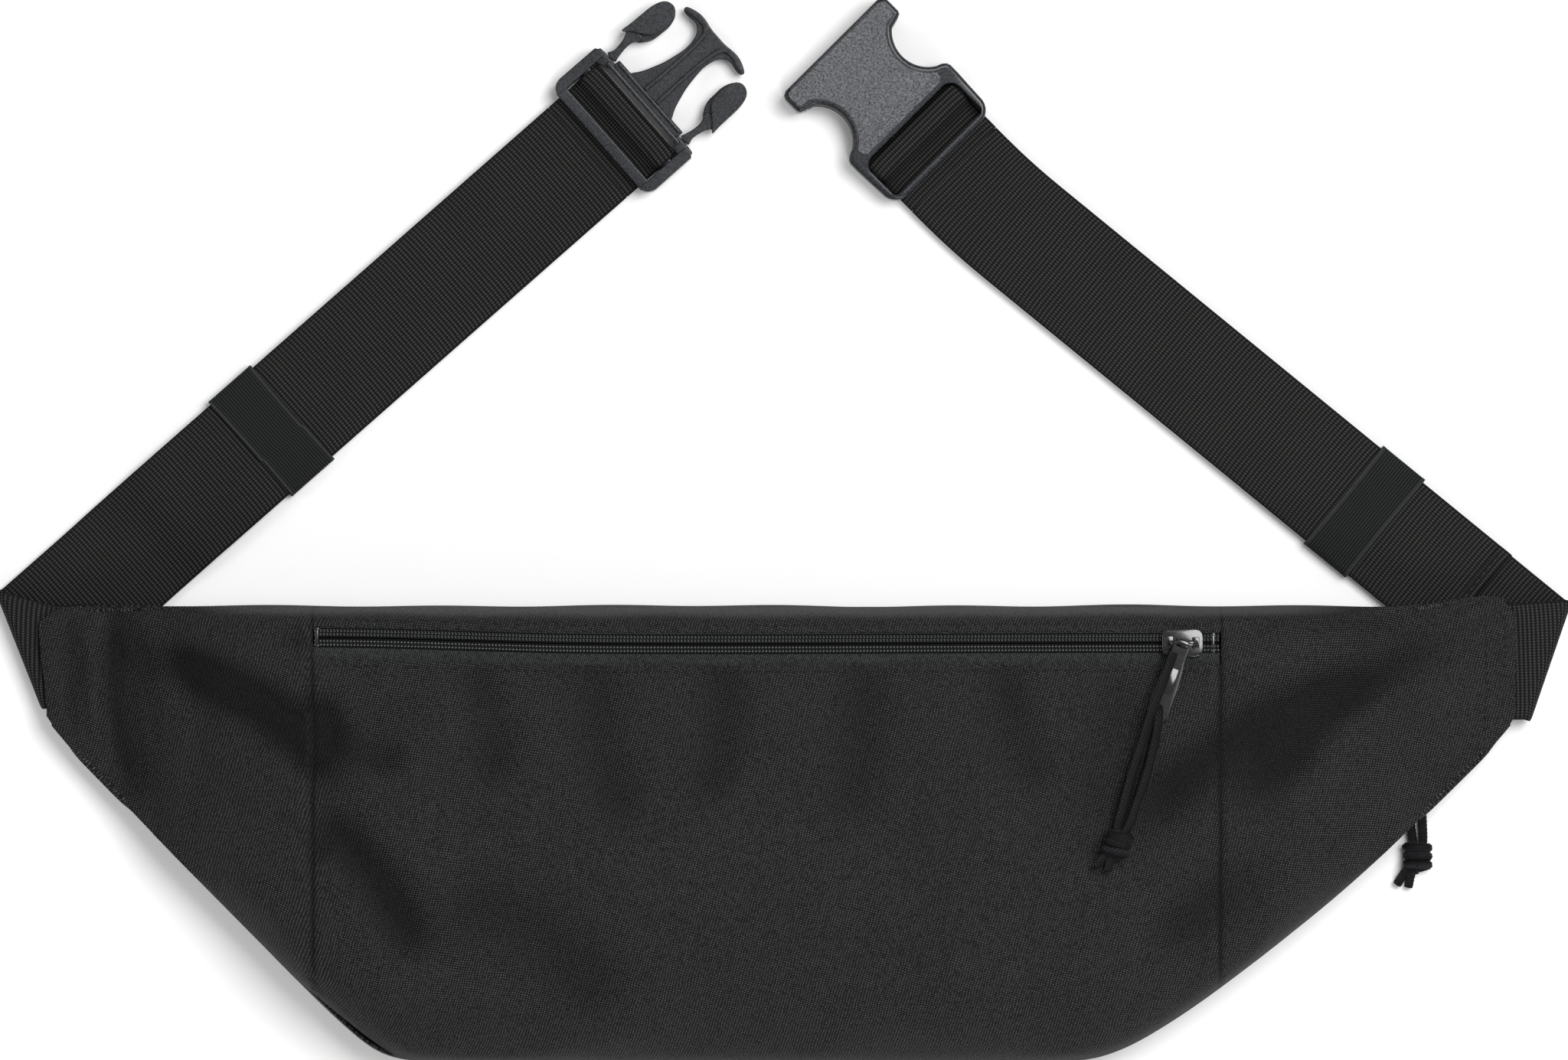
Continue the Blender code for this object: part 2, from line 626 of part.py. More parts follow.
def fillet(profile, radius, steps=5):
    """A side view with its inner corners rounded."""
    points = [Vector(profile[0])]
    for before, corner, after in zip(profile, profile[1:], profile[2:]):
        before, corner, after = Vector(before), Vector(corner), Vector(after)
        cut = min(radius, (before - corner).length / 2, (after - corner).length / 2)
        start = corner + (before - corner).normalized() * cut
        end = corner + (after - corner).normalized() * cut
        for i in range(steps + 1):
            t = i / steps
            points.append(start * (1 - t) ** 2 + corner * 2 * t * (1 - t) + end * t**2)
    return [*points, Vector(profile[-1])]


def make_wing(name, fold, fold_angle, heading, seam_x):
    """The short length of webbing between the bag's end seam and the fold."""
    into = 2 * fold_angle - heading  # the fold mirrors the belt's direction
    away = Vector((math.cos(into), math.sin(into)))
    along = Vector((math.cos(fold_angle), math.sin(fold_angle)))
    half_fold = WEBBING_WIDTH / 2 / abs(away.x * along.y - away.y * along.x)
    outline = []
    for side in (-1, 1):
        at_fold = fold + along * half_fold * side - away * GAP
        at_seam = at_fold - away * ((at_fold.x - seam_x) / away.x)
        outline += [tuple(at_seam), tuple(at_fold)][::-side]
    low, high = WING_Z - WEBBING / 2, WING_Z + WEBBING / 2
    node(name, plate(outline, low, high), "webbing", bag)


def make_keeper(name, at, width, frame):
    """A loop of elastic round both layers of the belt."""
    half = WEBBING_WIDTH / 2 + ELASTIC_PLAY
    low = LOWER_LAYER_Z - WEBBING / 2 - ELASTIC_PLAY - FOLD_Z
    high = UPPER_LAYER_Z + WEBBING / 2 + GAP - FOLD_Z
    reach = half + ELASTIC
    near, far = (at - width / 2, -reach, low - ELASTIC), (at + width / 2, reach, high + ELASTIC)
    outside = block(near, far, 0.3 * mm)
    inside = block((at - width, -half, low), (at + width, half, high))
    axis = empty(f"{name}_frame", (0, 0, 0), parent=frame)
    node(name, combine(outside, [inside], "DIFFERENCE"), "elastic", axis)


def make_belt_half(side, fold, heading, length, turn, tail_end, main_on_top):
    """The belt from its fold to the line where the buckle tilts on it. Returns both frames."""
    frame = empty(f"{side}_fold_axis", (*fold, FOLD_Z), heading, parent=bag)
    low, high = LOWER_LAYER_Z - FOLD_Z, UPPER_LAYER_Z - FOLD_Z
    end = length - TILT_GAP

    def place(s):
        return plan(s, length, turn)

    turn_points = [length - TURN_RUN * (1 - i / 6) for i in range(1, 6)]
    skew = fold_slant(side)
    if main_on_top:
        main = [(0, low), (tail_end - 18 * mm, low), (tail_end - 6 * mm, high)]
        main += [(s, high) for s in (*turn_points, end)]
        tail = [(tail_end, low)] + [(s, low) for s in (*turn_points, end)]
    else:
        main = [(0, low)] + [(s, low) for s in (*turn_points, end)]
        tail = [(tail_end, high)] + [(s, high) for s in (*turn_points, end)]
    run = ribbon(f"{side}_belt_run", main, frame, place)
    for vertex in run.data.vertices:
        if abs(vertex.co.x) < 1e-6:  # the fold slants across the belt
            vertex.co.x = vertex.co.y * skew + GAP
    ribbon(f"{side}_belt_tail", tail, frame, place)
    centre, turned = place(length)
    buckle = empty(f"{side}_tilt_axis", (centre.x, centre.y, TILT_Z - FOLD_Z), turned, parent=frame)
    make_loop(f"{side}_belt_loop", buckle)
    return frame, buckle


def fold_slant(side):
    """How far along the belt its end moves for each step across it."""
    angle = LEFT_FOLD_ANGLE - LEFT_HEADING if side == "left" else RIGHT_FOLD_ANGLE - RIGHT_HEADING
    return 1 / math.tan(angle)


def make_loop(name, frame):
    """The webbing where it passes over the buckle's centre bar and back."""
    low, high = LOWER_LAYER_Z - TILT_Z, UPPER_LAYER_Z - TILT_Z
    over = CENTRE_BAR_Z[1] + GAP + WEBBING / 2 - TILT_Z
    round_bar = CENTRE_BAR[1] + GAP + WEBBING / 2 + 0.3 * mm
    bar_edge = TAIL_EDGE + TAIL_BAR_WIDTH
    side_view = [
        (TILT_GAP, high),
        (bar_edge + 1.2 * mm, high),
        (CENTRE_BAR[0] - 0.6 * mm, over),
        (round_bar, over),
        (round_bar, low),
        (TILT_GAP, low),
    ]
    ribbon(name, fillet(side_view, 1.5 * mm), frame, lambda s: (Vector((s, 0, 0)), 0.0))


# ---------------------------------------------------------------- buckle
def make_male_buckle(tilt):
    """The half with two squeeze prongs and a centre guide."""
    frame = empty("male_buckle_frame_origin", (0, 0, -TILT_Z), parent=tilt)
    inner = WEBBING_WIDTH / 2 + RAIL_PLAY
    outer = inner + RAIL
    rails = []
    for near, far in ((-outer, -inner), (inner, outer)):
        low, high = (TAIL_EDGE, near, 0), (MALE_FRAME_END - 1 * mm, far, MALE_FRAME_THICK)
        rails.append(block(low, high, 1.1 * mm))
    overlap = inner + 1.5 * mm
    low, high = (TAIL_EDGE, -overlap, BAR_UNDER_Z), (TAIL_EDGE + TAIL_BAR_WIDTH, overlap, TAIL_BAR_TOP)
    tail_bar = block(low, high, 0.8 * mm)
    low, high = (CENTRE_BAR[0], -overlap, CENTRE_BAR_Z[0]), (CENTRE_BAR[1], overlap, CENTRE_BAR_Z[1])
    centre_bar = block(low, high, 0.8 * mm)
    reach = outer - 0.6 * mm
    low, high = (FRONT_BAR_START, -reach, FRONT_BAR_Z[0]), (MALE_FRAME_END, reach, FRONT_BAR_Z[1])
    front_bar = block(low, high, 0.6 * mm)
    half = [(MALE_FRAME_END - 1 * mm, 12.5 * mm)]
    half += arc((44.5 * mm, 29.8 * mm), 24.2 * mm, 222, 264, 7)
    half += [(46.5 * mm, 6.4 * mm), (49.5 * mm, 8.6 * mm), (51.8 * mm, 13.4 * mm), (53.6 * mm, 13.4 * mm)]
    half += [(53.2 * mm, 9.6 * mm), (54.4 * mm, 5.6 * mm), (GUIDE_END, 3.6 * mm)]
    guide = plate(mirrored(half), *GUIDE_Z)
    body = combine(rails[0], [rails[1], tail_bar, centre_bar, front_bar, guide])
    node("male_buckle_body", body, "buckle_plastic", frame)

    for name, side in (("male_prong_upper", 1), ("male_prong_lower", -1)):
        axis = empty(f"{name}_axis", (MALE_FRAME_END, side * STEM_V, 0), parent=frame)
        outline = [(x - MALE_FRAME_END, side * y) for x, y in prong_outline()]
        prong = plate(outline, *PRONG_Z)
        node(name, prong, "buckle_plastic", axis)


def prong_outline():
    """A stem from the frame, then the leaf-shaped head with its barb, about the stem's own line."""
    start, neck = MALE_FRAME_END + GAP, MALE_FRAME_END + 7 * mm
    barb = [(9.3, 3.4), (17.5, 3.4), (24.5, 1.8), (26.9, 0.2), (27.1, -3.0), (24.0, -5.2)]
    belly = [(19.5, -5.6), (14.0, -4.6), (10.5, -3.0)]
    head = [(MALE_FRAME_END + x * mm, y * mm) for x, y in barb + belly]
    return [(start, STEM_HALF), (neck, STEM_HALF), *head, (neck + 1 * mm, -STEM_HALF), (start, -STEM_HALF)]


def make_female_buckle(tilt):
    """The hollow half that the prongs click into."""
    frame = empty("female_buckle_frame_origin", (0, 0, -TILT_Z), parent=tilt)
    end = TAIL_EDGE + FEMALE_LENGTH
    wide = FEMALE_HALF
    half = [(TAIL_EDGE, wide - 5.6 * mm), (TAIL_EDGE + 1.2 * mm, wide - 2.4 * mm)]
    half += [(TAIL_EDGE + 4 * mm, wide - 1.4 * mm), (24.3 * mm, wide - 0.2 * mm)]
    half += arc((36.4 * mm, wide + 2.2 * mm), 11.4 * mm, 203, 322, 12)
    half += [(45.6 * mm, wide - 0.8 * mm), (47.0 * mm, wide), (end, wide)]
    body = plate(mirrored(half), 0, FEMALE_THICK)
    low = (end - MOUTH_DEPTH, -MOUTH_HALF, MOUTH_WALL)
    high = (end + 5 * mm, MOUTH_HALF, FEMALE_THICK - MOUTH_WALL)
    mouth = block(low, high)
    inner = WEBBING_WIDTH / 2 + RAIL_PLAY
    window = block((WINDOW[0], -inner, -1 * mm), (WINDOW[1], inner, FEMALE_THICK + 1 * mm))
    under_tail = block((0, -inner, -1 * mm), (WINDOW[0] + 1 * mm, inner, BAR_UNDER_Z))
    body = combine(body, [mouth, window, under_tail], "DIFFERENCE")
    overlap = inner + 1 * mm
    low, high = (CENTRE_BAR[0], -overlap, CENTRE_BAR_Z[0]), (CENTRE_BAR[1], overlap, CENTRE_BAR_Z[1])
    body = combine(body, [block(low, high, 0.8 * mm)])
    node("female_buckle_body", body, "buckle_plastic", frame)


def make_belt():
    make_wing("left_belt_wing", LEFT_FOLD, LEFT_FOLD_ANGLE, LEFT_HEADING, BAG_LEFT + WING_SEAM)
    make_wing("right_belt_wing", RIGHT_FOLD, RIGHT_FOLD_ANGLE, RIGHT_HEADING, BAG_RIGHT - WING_SEAM)
    strap, tilt = make_belt_half(
        "left", LEFT_FOLD, LEFT_HEADING, LEFT_STRAP, LEFT_TURN, LEFT_TAIL_END, True
    )
    make_keeper("left_keeper", LEFT_KEEPER_AT, LEFT_KEEPER_WIDTH, strap)
    make_male_buckle(tilt)
    strap, tilt = make_belt_half(
        "right", RIGHT_FOLD, RIGHT_HEADING, RIGHT_STRAP, RIGHT_TURN, RIGHT_TAIL_END, False
    )
    make_keeper("right_keeper", RIGHT_KEEPER_AT, RIGHT_KEEPER_WIDTH, strap)
    make_female_buckle(tilt)


bag = empty("money_belt", (0, -REST_Y, 0))
make_bag()
make_zips()
make_belt()
print(f"{sum(obj.type != 'EMPTY' for obj in parts.objects)} pieces")
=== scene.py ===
import json
import math

import bpy
import numpy as np
from mathutils import Matrix, Vector


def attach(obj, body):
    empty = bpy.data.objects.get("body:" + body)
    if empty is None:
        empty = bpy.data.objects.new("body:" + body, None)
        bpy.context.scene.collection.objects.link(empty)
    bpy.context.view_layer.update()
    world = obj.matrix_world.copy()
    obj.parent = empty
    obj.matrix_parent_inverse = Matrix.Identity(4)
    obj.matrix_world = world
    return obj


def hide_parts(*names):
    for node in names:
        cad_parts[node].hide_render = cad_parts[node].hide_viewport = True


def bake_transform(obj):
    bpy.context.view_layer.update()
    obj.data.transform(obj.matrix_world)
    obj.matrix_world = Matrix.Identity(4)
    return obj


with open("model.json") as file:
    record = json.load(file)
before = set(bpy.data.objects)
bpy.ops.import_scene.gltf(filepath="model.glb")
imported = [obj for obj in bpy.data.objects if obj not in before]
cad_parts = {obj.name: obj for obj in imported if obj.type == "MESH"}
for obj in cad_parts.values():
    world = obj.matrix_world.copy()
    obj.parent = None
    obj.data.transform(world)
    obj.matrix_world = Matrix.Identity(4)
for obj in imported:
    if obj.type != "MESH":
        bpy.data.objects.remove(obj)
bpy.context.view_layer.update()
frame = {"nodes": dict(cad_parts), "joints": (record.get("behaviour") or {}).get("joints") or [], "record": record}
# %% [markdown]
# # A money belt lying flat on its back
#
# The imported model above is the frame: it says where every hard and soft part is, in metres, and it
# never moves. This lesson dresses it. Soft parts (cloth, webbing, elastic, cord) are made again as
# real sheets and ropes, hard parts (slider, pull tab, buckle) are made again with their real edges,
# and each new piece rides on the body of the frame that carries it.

mm = 0.001
joint = {j["name"]: j for j in frame["joints"]}
bag_middle = Vector((0.0, 0.055, 0.0))  # the middle of the bag, from the middle of its resting face
finishes = []  # (piece, finish) pairs, dressed in their materials at the end


def alone(piece):
    """Selects one piece and nothing else."""
    if bpy.context.object and bpy.context.object.mode != "OBJECT":
        bpy.ops.object.mode_set(mode="OBJECT")
    bpy.ops.object.select_all(action="DESELECT")
    piece.select_set(True)
    bpy.context.view_layer.objects.active = piece


def applied(piece, kind, **settings):
    """Adds a modifier, sets it and applies it."""
    alone(piece)
    modifier = piece.modifiers.new(kind.lower(), kind)
    for name, value in settings.items():
        setattr(modifier, name, value)
    bpy.ops.object.modifier_apply(modifier=modifier.name)
    return piece


def smoothed(piece, degrees=35):
    """Shades a piece smooth, with edges sharper than the angle kept crisp."""
    alone(piece)
    bpy.ops.object.shade_smooth_by_angle(angle=math.radians(degrees))
    return piece


def outward(piece):
    """Turns every face of a closed piece outwards."""
    alone(piece)
    bpy.ops.object.mode_set(mode="EDIT")
    bpy.ops.mesh.select_all(action="SELECT")
    bpy.ops.mesh.normals_make_consistent(inside=False)
    bpy.ops.object.mode_set(mode="OBJECT")
    return piece


def placed(piece, matrix):
    """Puts a piece that was made at the origin where it belongs, in its own mesh."""
    alone(piece)
    piece.matrix_world = matrix @ piece.matrix_world
    bpy.ops.object.transform_apply(location=True, rotation=True, scale=True)
    return piece


def finished(piece, name, finish, body=None, stands_for=()):
    """Names a piece, notes its finish, and says what it rides on and which frame nodes it replaces."""
    piece.name = name
    piece.data.name = name
    finishes.append((piece, finish))
    if stands_for:
        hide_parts(*stands_for)
    if body:
        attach(piece, body)
    count = len(piece.data.polygons) if piece.type == "MESH" else 0
    print(f"{name}: {count} faces, finish {finish}, rides on {body or 'two bodies'}")
    return piece


def on_bag(x, y, z=0.0):
    """A point given in millimetres from the middle of the bag."""
    return Vector((x * mm, y * mm, z * mm)) + bag_middle


# %% [markdown]
# ## Camera
#
# A belt like this is laid on a table and looked at from straight above through a long lens, which
# keeps the strap, the bag and the buckle at one scale. The lens is 250 mm on a 36 mm sensor, so the
# camera stands about three and a half metres up.

# %% Camera
seen_width = 496.6 * mm
level = 10 * mm  # the height at which that width is exact
lens, sensor = 250.0, 36.0
rise = seen_width / 2 / (sensor / 2 / lens)
bpy.ops.object.select_all(action="DESELECT")
bpy.ops.object.camera_add(location=(0, 151.15 * mm, level + rise), rotation=(0, 0, 0))
camera = bpy.context.object
camera.data.lens = lens
camera.data.sensor_width = sensor
camera.data.clip_end = 50
bpy.context.scene.camera = camera
print(f"camera {rise:.2f} m above the table")

# %% [markdown]
# ## Pull cords
#
# Each zip is pulled by a short loop of 3 mm braided cord, tied in a knot. A braid is a tube of
# strands that cross over and under each other, so the tube is given rows of small raised lozenges
# where a strand comes to the top. The route of each cord is a smooth curve through chosen points:
# over the pull tab, down on to the cloth, and into its knot.

# %% A smooth route and a braided tube
cord_width = 3.0 * mm


def smooth_route(points, steps=8):
    """A smooth curve through points (Catmull-Rom), the same one that the frame's cords follow."""
    ends = [points[0] * 2 - points[1], *points, points[-1] * 2 - points[-2]]
    route = []
    for a, b, c, d in zip(ends, ends[1:], ends[2:], ends[3:]):
        for i in range(steps):
            t = i / steps
            route.append(
                (2 * b + (c - a) * t + (2 * a - 5 * b + 4 * c - d) * t**2
                 + (3 * b - a - 3 * c + d) * t**3) / 2
            )
    return [*route, points[-1]]


def even_route(points, step):
    """The same route with its points a fixed distance apart."""
    line = np.array([list(p) for p in points])
    walked = np.concatenate([[0], np.cumsum(np.linalg.norm(np.diff(line, axis=0), axis=1))])
    count = max(4, round(walked[-1] / step))
    marks = np.linspace(0, walked[-1], count + 1)
    return np.stack([np.interp(marks, walked, line[:, k]) for k in range(3)], axis=1), marks


def tube(name, line, marks, radius, around=30, relief=0.0, strands=6, lay=7.4 * mm):
    """A closed tube round a line of points, with the relief of a braid on it."""
    ahead = np.gradient(line, axis=0)
    ahead /= np.linalg.norm(ahead, axis=1)[:, None]
    side = np.cross(ahead[0], [0, 0, 1.0])
    if np.linalg.norm(side) < 0.2:
        side = np.cross(ahead[0], [0, 1.0, 0])
    rings, crests = [], []
    for i, (centre, forward) in enumerate(zip(line, ahead)):
        side = side - forward * side.dot(forward)
        side /= np.linalg.norm(side)
        up = np.cross(side, forward)
        turn = np.linspace(0, 2 * math.pi, around, endpoint=False)
        one = marks[i] / lay * strands + turn / (2 * math.pi) * strands
        other = marks[i] / lay * strands - turn / (2 * math.pi) * strands
        lozenge = np.abs(np.cos(math.pi * one) * np.cos(math.pi * other)) ** 0.6
        size = radius * (1 - relief + relief * lozenge)
        crests.append(lozenge)
        rings.append(centre + size[:, None] * (np.cos(turn)[:, None] * side + np.sin(turn)[:, None] * up))
    rings = np.array(rings)
    first = line[0] - ahead[0] * radius * 0.25
    last = line[-1] + ahead[-1] * radius * 0.25
    points = [*rings.reshape(-1, 3), first, last]
    n, faces = len(line), []
    for i in range(n - 1):
        for k in range(around):
            a, b = i * around + k, i * around + (k + 1) % around
            faces.append((a, b, b + around, a + around))
    for k in range(around):
        faces.append((k, n * around, (k + 1) % around))
        end = (n - 1) * around
        faces.append((end + (k + 1) % around, n * around + 1, end + k))
    mesh = bpy.data.meshes.new(name)
    mesh.from_pydata([tuple(p) for p in points], [], faces)
    piece = bpy.data.objects.new(name, mesh)
    bpy.context.scene.collection.objects.link(piece)
    around_mark = np.tile(np.arange(around) / around, n)
    along_mark = np.repeat(marks, around)
    marked(piece, np.append(np.concatenate(crests), [0, 0]))
    pattern(piece, np.append(along_mark, [marks[0], marks[-1]]), np.append(around_mark, [0, 0]))
    alone(piece)
    bpy.ops.object.mode_set(mode="EDIT")
    bpy.ops.mesh.select_all(action="SELECT")
    bpy.ops.mesh.normals_make_consistent(inside=False)
    bpy.ops.object.mode_set(mode="OBJECT")
    bpy.ops.object.shade_smooth()
    return piece


def pattern(piece, along, across):
    """Writes a UV map in metres, so that weave and ribs follow the piece's own surface."""
    layer = piece.data.uv_layers.get("pattern") or piece.data.uv_layers.new(name="pattern")
    corners = np.zeros(len(piece.data.loops), int)
    piece.data.loops.foreach_get("vertex_index", corners)
    values = np.stack([np.asarray(along)[corners], np.asarray(across)[corners]], axis=1)
    layer.data.foreach_set("uv", values.astype(np.float32).ravel())
    piece.data.uv_layers.active = layer


def marked(piece, values):
    """Stores how much each vertex is a crest (1) or a groove (0), for the finish to read; the finish paints crests
    lighter, a painted highlight, and grooves darker, a painted shade.
    """
    layer = piece.data.attributes.get("crest") or piece.data.attributes.new("crest", "FLOAT", "POINT")
    layer.data.foreach_set("value", np.asarray(values, np.float32).ravel())


def joined(pieces):
    """Several meshes as one piece."""
    alone(pieces[0])
    for piece in pieces[1:]:
        piece.select_set(True)
    bpy.ops.object.join()
    return bpy.context.object


print("cord tools ready")

# %% Routes of the pull cords, in metres in the frame
over_tab = 44.4
front_left_route = [
    on_bag(*p)
    for p in [(122.2, 57.6, over_tab), (120.0, 51.5, over_tab), (117.9, 45.8, over_tab),
              (117.3, 44.3, over_tab), (115.0, 38.2, over_tab), (112.4, 29.5, 42.9),
              (109.3, 20.0, 42.7), (106.8, 11.0, 43.0), (105.0, 4.6, 43.4), (104.5, 1.0, 44.0)]
]
front_right_route = [
    on_bag(*p)
    for p in [(117.7, 40.8, 41.0), (117.6, 39.4, 42.9), (117.4, 36.6, 44.1), (117.0, 33.0, 43.2), (116.2, 29.0, 42.1),
              (114.0, 20.0, 42.4), (111.0, 11.0, 42.9), (108.6, 4.2, 43.3), (106.4, 0.4, 44.0)]
]
rear_left_route = [
    on_bag(*p)
    for p in [(197.2, 30.2, 2.6), (197.3, 25.0, 2.0), (197.5, 15.0, 1.8), (198.6, 5.0, 1.8),
              (199.6, -2.2, 2.2), (200.2, -5.0, 3.0)]
]
rear_right_route = [
    on_bag(*p)
    for p in [(200.8, 30.6, 2.6), (201.2, 25.0, 2.0), (202.0, 15.0, 1.8), (202.6, 5.0, 1.8),
              (202.8, -2.2, 2.2), (202.2, -5.0, 3.0)]
]


def cord_piece(name, route, shrink=0.0):
    """A braided cord along a route."""
    line, marks = even_route(smooth_route(route), 0.32 * mm)
    return tube(name, line, marks, cord_width / 2 - shrink, relief=0.17), marks[-1], line


front_left_cord, front_left_length, front_left_line = cord_piece("front_cord_left", front_left_route)
front_right_cord, front_right_length, front_right_line = cord_piece("front_cord_right", front_right_route)
rear_left_cord, rear_left_length, rear_left_line = cord_piece("rear_cord_left", rear_left_route)
rear_right_cord, rear_right_length, rear_right_line = cord_piece("rear_cord_right", rear_right_route)
for label, length in (("front left", front_left_length), ("front right", front_right_length),
                      ("rear left", rear_left_length), ("rear right", rear_right_length)):
    print(f"{label} cord {length / mm:.1f} mm")

# %% [markdown]
# ### The knots
#
# Both legs of a pull cord go into one overhand knot. What shows is a few turns of cord wrapped round
# the bundle, a little askew, and two short cut tails below. The turns are one rope wound on a
# flattened helix, with the legs running on through the middle into the tails.

# %% Knots
def knot(name, centre, down, turns, wide, tall, pitch, tails, lean):
    """A knot round a bundle that runs along the direction down, with its cut tails."""
    down = down.normalized()
    up = Vector((0, 0, 1))
    side = down.cross(up).normalized()
    wraps = []
    steps = int(26 * turns)
    for i in range(steps + 1):
        turn = 2 * math.pi * turns * i / steps
        along = (i / steps - 0.5) * pitch * turns
        skew = lean * math.cos(turn)
        wraps.append(
            centre + down * (along + skew) + side * wide * math.cos(turn) + up * tall * math.sin(turn)
        )
    start = centre - down * (pitch * turns / 2)
    wraps = [start + up * 0.2 * mm, *wraps, centre + down * (pitch * turns / 2)]
    line, marks = even_route(smooth_route(wraps, 3), 0.34 * mm)
    ropes = [tube("wraps", line, marks, cord_width / 2, around=24, relief=0.17)]
    for tail in tails:
        middle = centre.lerp(tail, 0.55) + side * 0.4 * mm
        line, marks = even_route(smooth_route([centre - down * 2 * mm, centre, middle, tail]), 0.34 * mm)
        ropes.append(tube("tail", line, marks, cord_width / 2, around=24, relief=0.17))
    piece = joined(ropes)
    piece.name = name
    return piece


front_knot = knot(
    "front_knot", on_bag(104.6, -2.4, 44.9), Vector((-0.32, -0.95, 0)), 2.6, 3.0 * mm, 2.2 * mm,
    2.5 * mm, [on_bag(98.0, -9.4, 43.4), on_bag(101.6, -10.6, 43.4)], 0.9 * mm,
)
rear_knot = knot(
    "rear_knot", on_bag(201.0, -7.8, 3.9), Vector((0, -1, 0)), 2.9, 3.4 * mm, 1.5 * mm,
    2.7 * mm, [on_bag(194.6, -16.4, 1.9), on_bag(198.2, -17.2, 1.9)], 0.5 * mm,
)
finished(front_knot, "front_knot", "cord", "front_cord", ["front_cord_knot"])
finished(rear_knot, "rear_knot", "cord", "rear_cord", ["rear_cord_knot"])

# %% What each cord rides on
finished(front_left_cord, "front_cord_left", "cord", None, ["front_cord_upper", "front_cord_left_leg"])
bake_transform(front_left_cord)
finished(front_right_cord, "front_cord_right", "cord", "front_cord", ["front_cord_right_leg"])
finished(rear_left_cord, "rear_cord_left", "cord", "rear_cord", ["rear_cord_left_leg"])
finished(rear_right_cord, "rear_cord_right", "cord", "rear_cord", ["rear_cord_right_leg"])

# %% [markdown]
# ## The bag's cloth
#
# The bag is cut from coarse woven nylon. Its front is four panels: a wing at each end, the pocket
# panel between two upright seams, and a strip above the zip. The front turns down over a soft
# rounded edge to a seam, and a gusset joins that seam to the back. All four front panels start as
# one grid whose rows and columns run along the seams, so that they meet exactly. A short cloth
# simulation then gives the grid a little more cloth than its seams span, which makes the shallow
# puckers of a real sewn bag. Only after that is it divided finely and cut into its panels.

# %% Outline of the bag, in millimetres from its middle
left_end, right_end = -233.5, 231.6
top_line, bottom_line, end_corner = 71.8, -71.8, 35.6
left_corner_x, right_corner_x = -128.0, 104.5
left_seam, right_seam = -148.0, 137.3
zip_line = 60.7
below_zip, above_zip, rear_gap = 6.7, 4.0, 5.6
face_height, seam_height, crown = 38.0, 20.0, 2.0
back_lift, thin_end = 7.0, 11.1


def step(t):
    t = np.clip(t, 0, 1)
    return t * t * (3 - 2 * t)


def rounding(t):
    t = np.clip(t, 0, 1)
    return np.sqrt(1 - (1 - t) ** 2)


def end_round(x, radius=5.0):
    """How far the outline draws in at the corners of both ends."""
    past = np.maximum(0, np.maximum(left_end + radius - x, x - (right_end - radius)))
    return radius * (1 - np.sqrt(np.maximum(0, 1 - (past / radius) ** 2)))


def lower_edge(x):
    left_slope = (end_corner - bottom_line) / (left_end - left_corner_x)
    right_slope = (end_corner - bottom_line) / (right_end - right_corner_x)
    along = np.clip((x - right_corner_x) / (right_end - right_corner_x), 0, 1)
    left = bottom_line + left_slope * (x - left_corner_x)
    right = bottom_line + right_slope * (x - right_corner_x) - 6.0 * np.sin(math.pi * along)
    apart = np.maximum(left, right) - bottom_line
    return bottom_line + (apart + np.hypot(apart, 8.0)) / 2 - 1.0 + 0.5 * end_round(x)


def upper_edge(x):
    return top_line + 3.6 * np.exp(-(((x - 224) / 17) ** 2)) - end_round(x)


def face(x):
    return face_height - (face_height - thin_end) * step((np.abs(x) - 150) / 72)


def seam(x):
    lifted = seam_height + (face(x) - seam_height) * step((np.abs(x) - 184) / 31)
    return np.minimum(lifted, face(x))


def back(x, y):
    across = step((np.abs(x) - 90) / 45)
    up = step((y + 38) / 16)
    return back_lift * (1 - (1 - across) * (1 - up))


def zip_wave(x):
    """The front zip is sewn in a little unevenly: it runs higher at its left end."""
    return 1.7 * (1 - step((x + 150) / 95)) - 0.45 * np.exp(-(((x + 20) / 80) ** 2))


def front(x, y):
    edge = rounding((upper_edge(x) - y) / 5.0) * rounding((y - lower_edge(x)) / 26.0)
    across = np.maximum(0, 1 - (x / 150) ** 2)
    up = np.maximum(0, 1 - ((y + 6.5) / 54.5) ** 2)
    return seam(x) + (face(x) - seam(x)) * edge + crown * across * up


print(f"bag {right_end - left_end:.0f} mm long, {top_line - bottom_line:.0f} mm high")

# %% A sheet of cloth from a grid
def cloth_grid(name, xs, rows, place):
    """A grid primitive whose vertices are moved on to place(x, v), with a pattern map in metres."""
    bpy.ops.object.select_all(action="DESELECT")
    bpy.ops.mesh.primitive_grid_add(x_subdivisions=len(xs) - 1, y_subdivisions=rows, size=2)
    piece = bpy.context.object
    piece.name = name
    x, v = np.meshgrid(np.array(xs, float), np.linspace(0, 1, rows + 1))
    points = np.stack(place(x, v), axis=-1) * mm + np.array(bag_middle)
    piece.data.vertices.foreach_set("co", points.reshape(-1, 3).astype(np.float32).ravel())
    piece.data.update()
    up = np.linalg.norm(np.diff(points, axis=0), axis=2)
    up = np.concatenate([np.zeros((1, len(xs))), np.cumsum(up, axis=0)])
    pattern(piece, points[..., 0].ravel(), (up + points[0, :, 1]).ravel())
    return piece


def even_steps(stops, gap):
    """Values from the first stop to the last, about a gap apart, that pass through every stop."""
    values = [stops[0]]
    for a, b in zip(stops, stops[1:]):
        count = max(1, round((b - a) / gap))
        values += [a + (b - a) * (i + 1) / count for i in range(count)]
    return values


def corners_of(piece):
    """Every vertex of a piece, in millimetres from the middle of the bag."""
    flat = np.zeros(len(piece.data.vertices) * 3, np.float32)
    piece.data.vertices.foreach_get("co", flat)
    return (flat.reshape(-1, 3).astype(float) - np.array(bag_middle)) / mm


def move_corners(piece, points):
    points = points * mm + np.array(bag_middle)
    piece.data.vertices.foreach_set("co", points.astype(np.float32).ravel())
    piece.data.update()


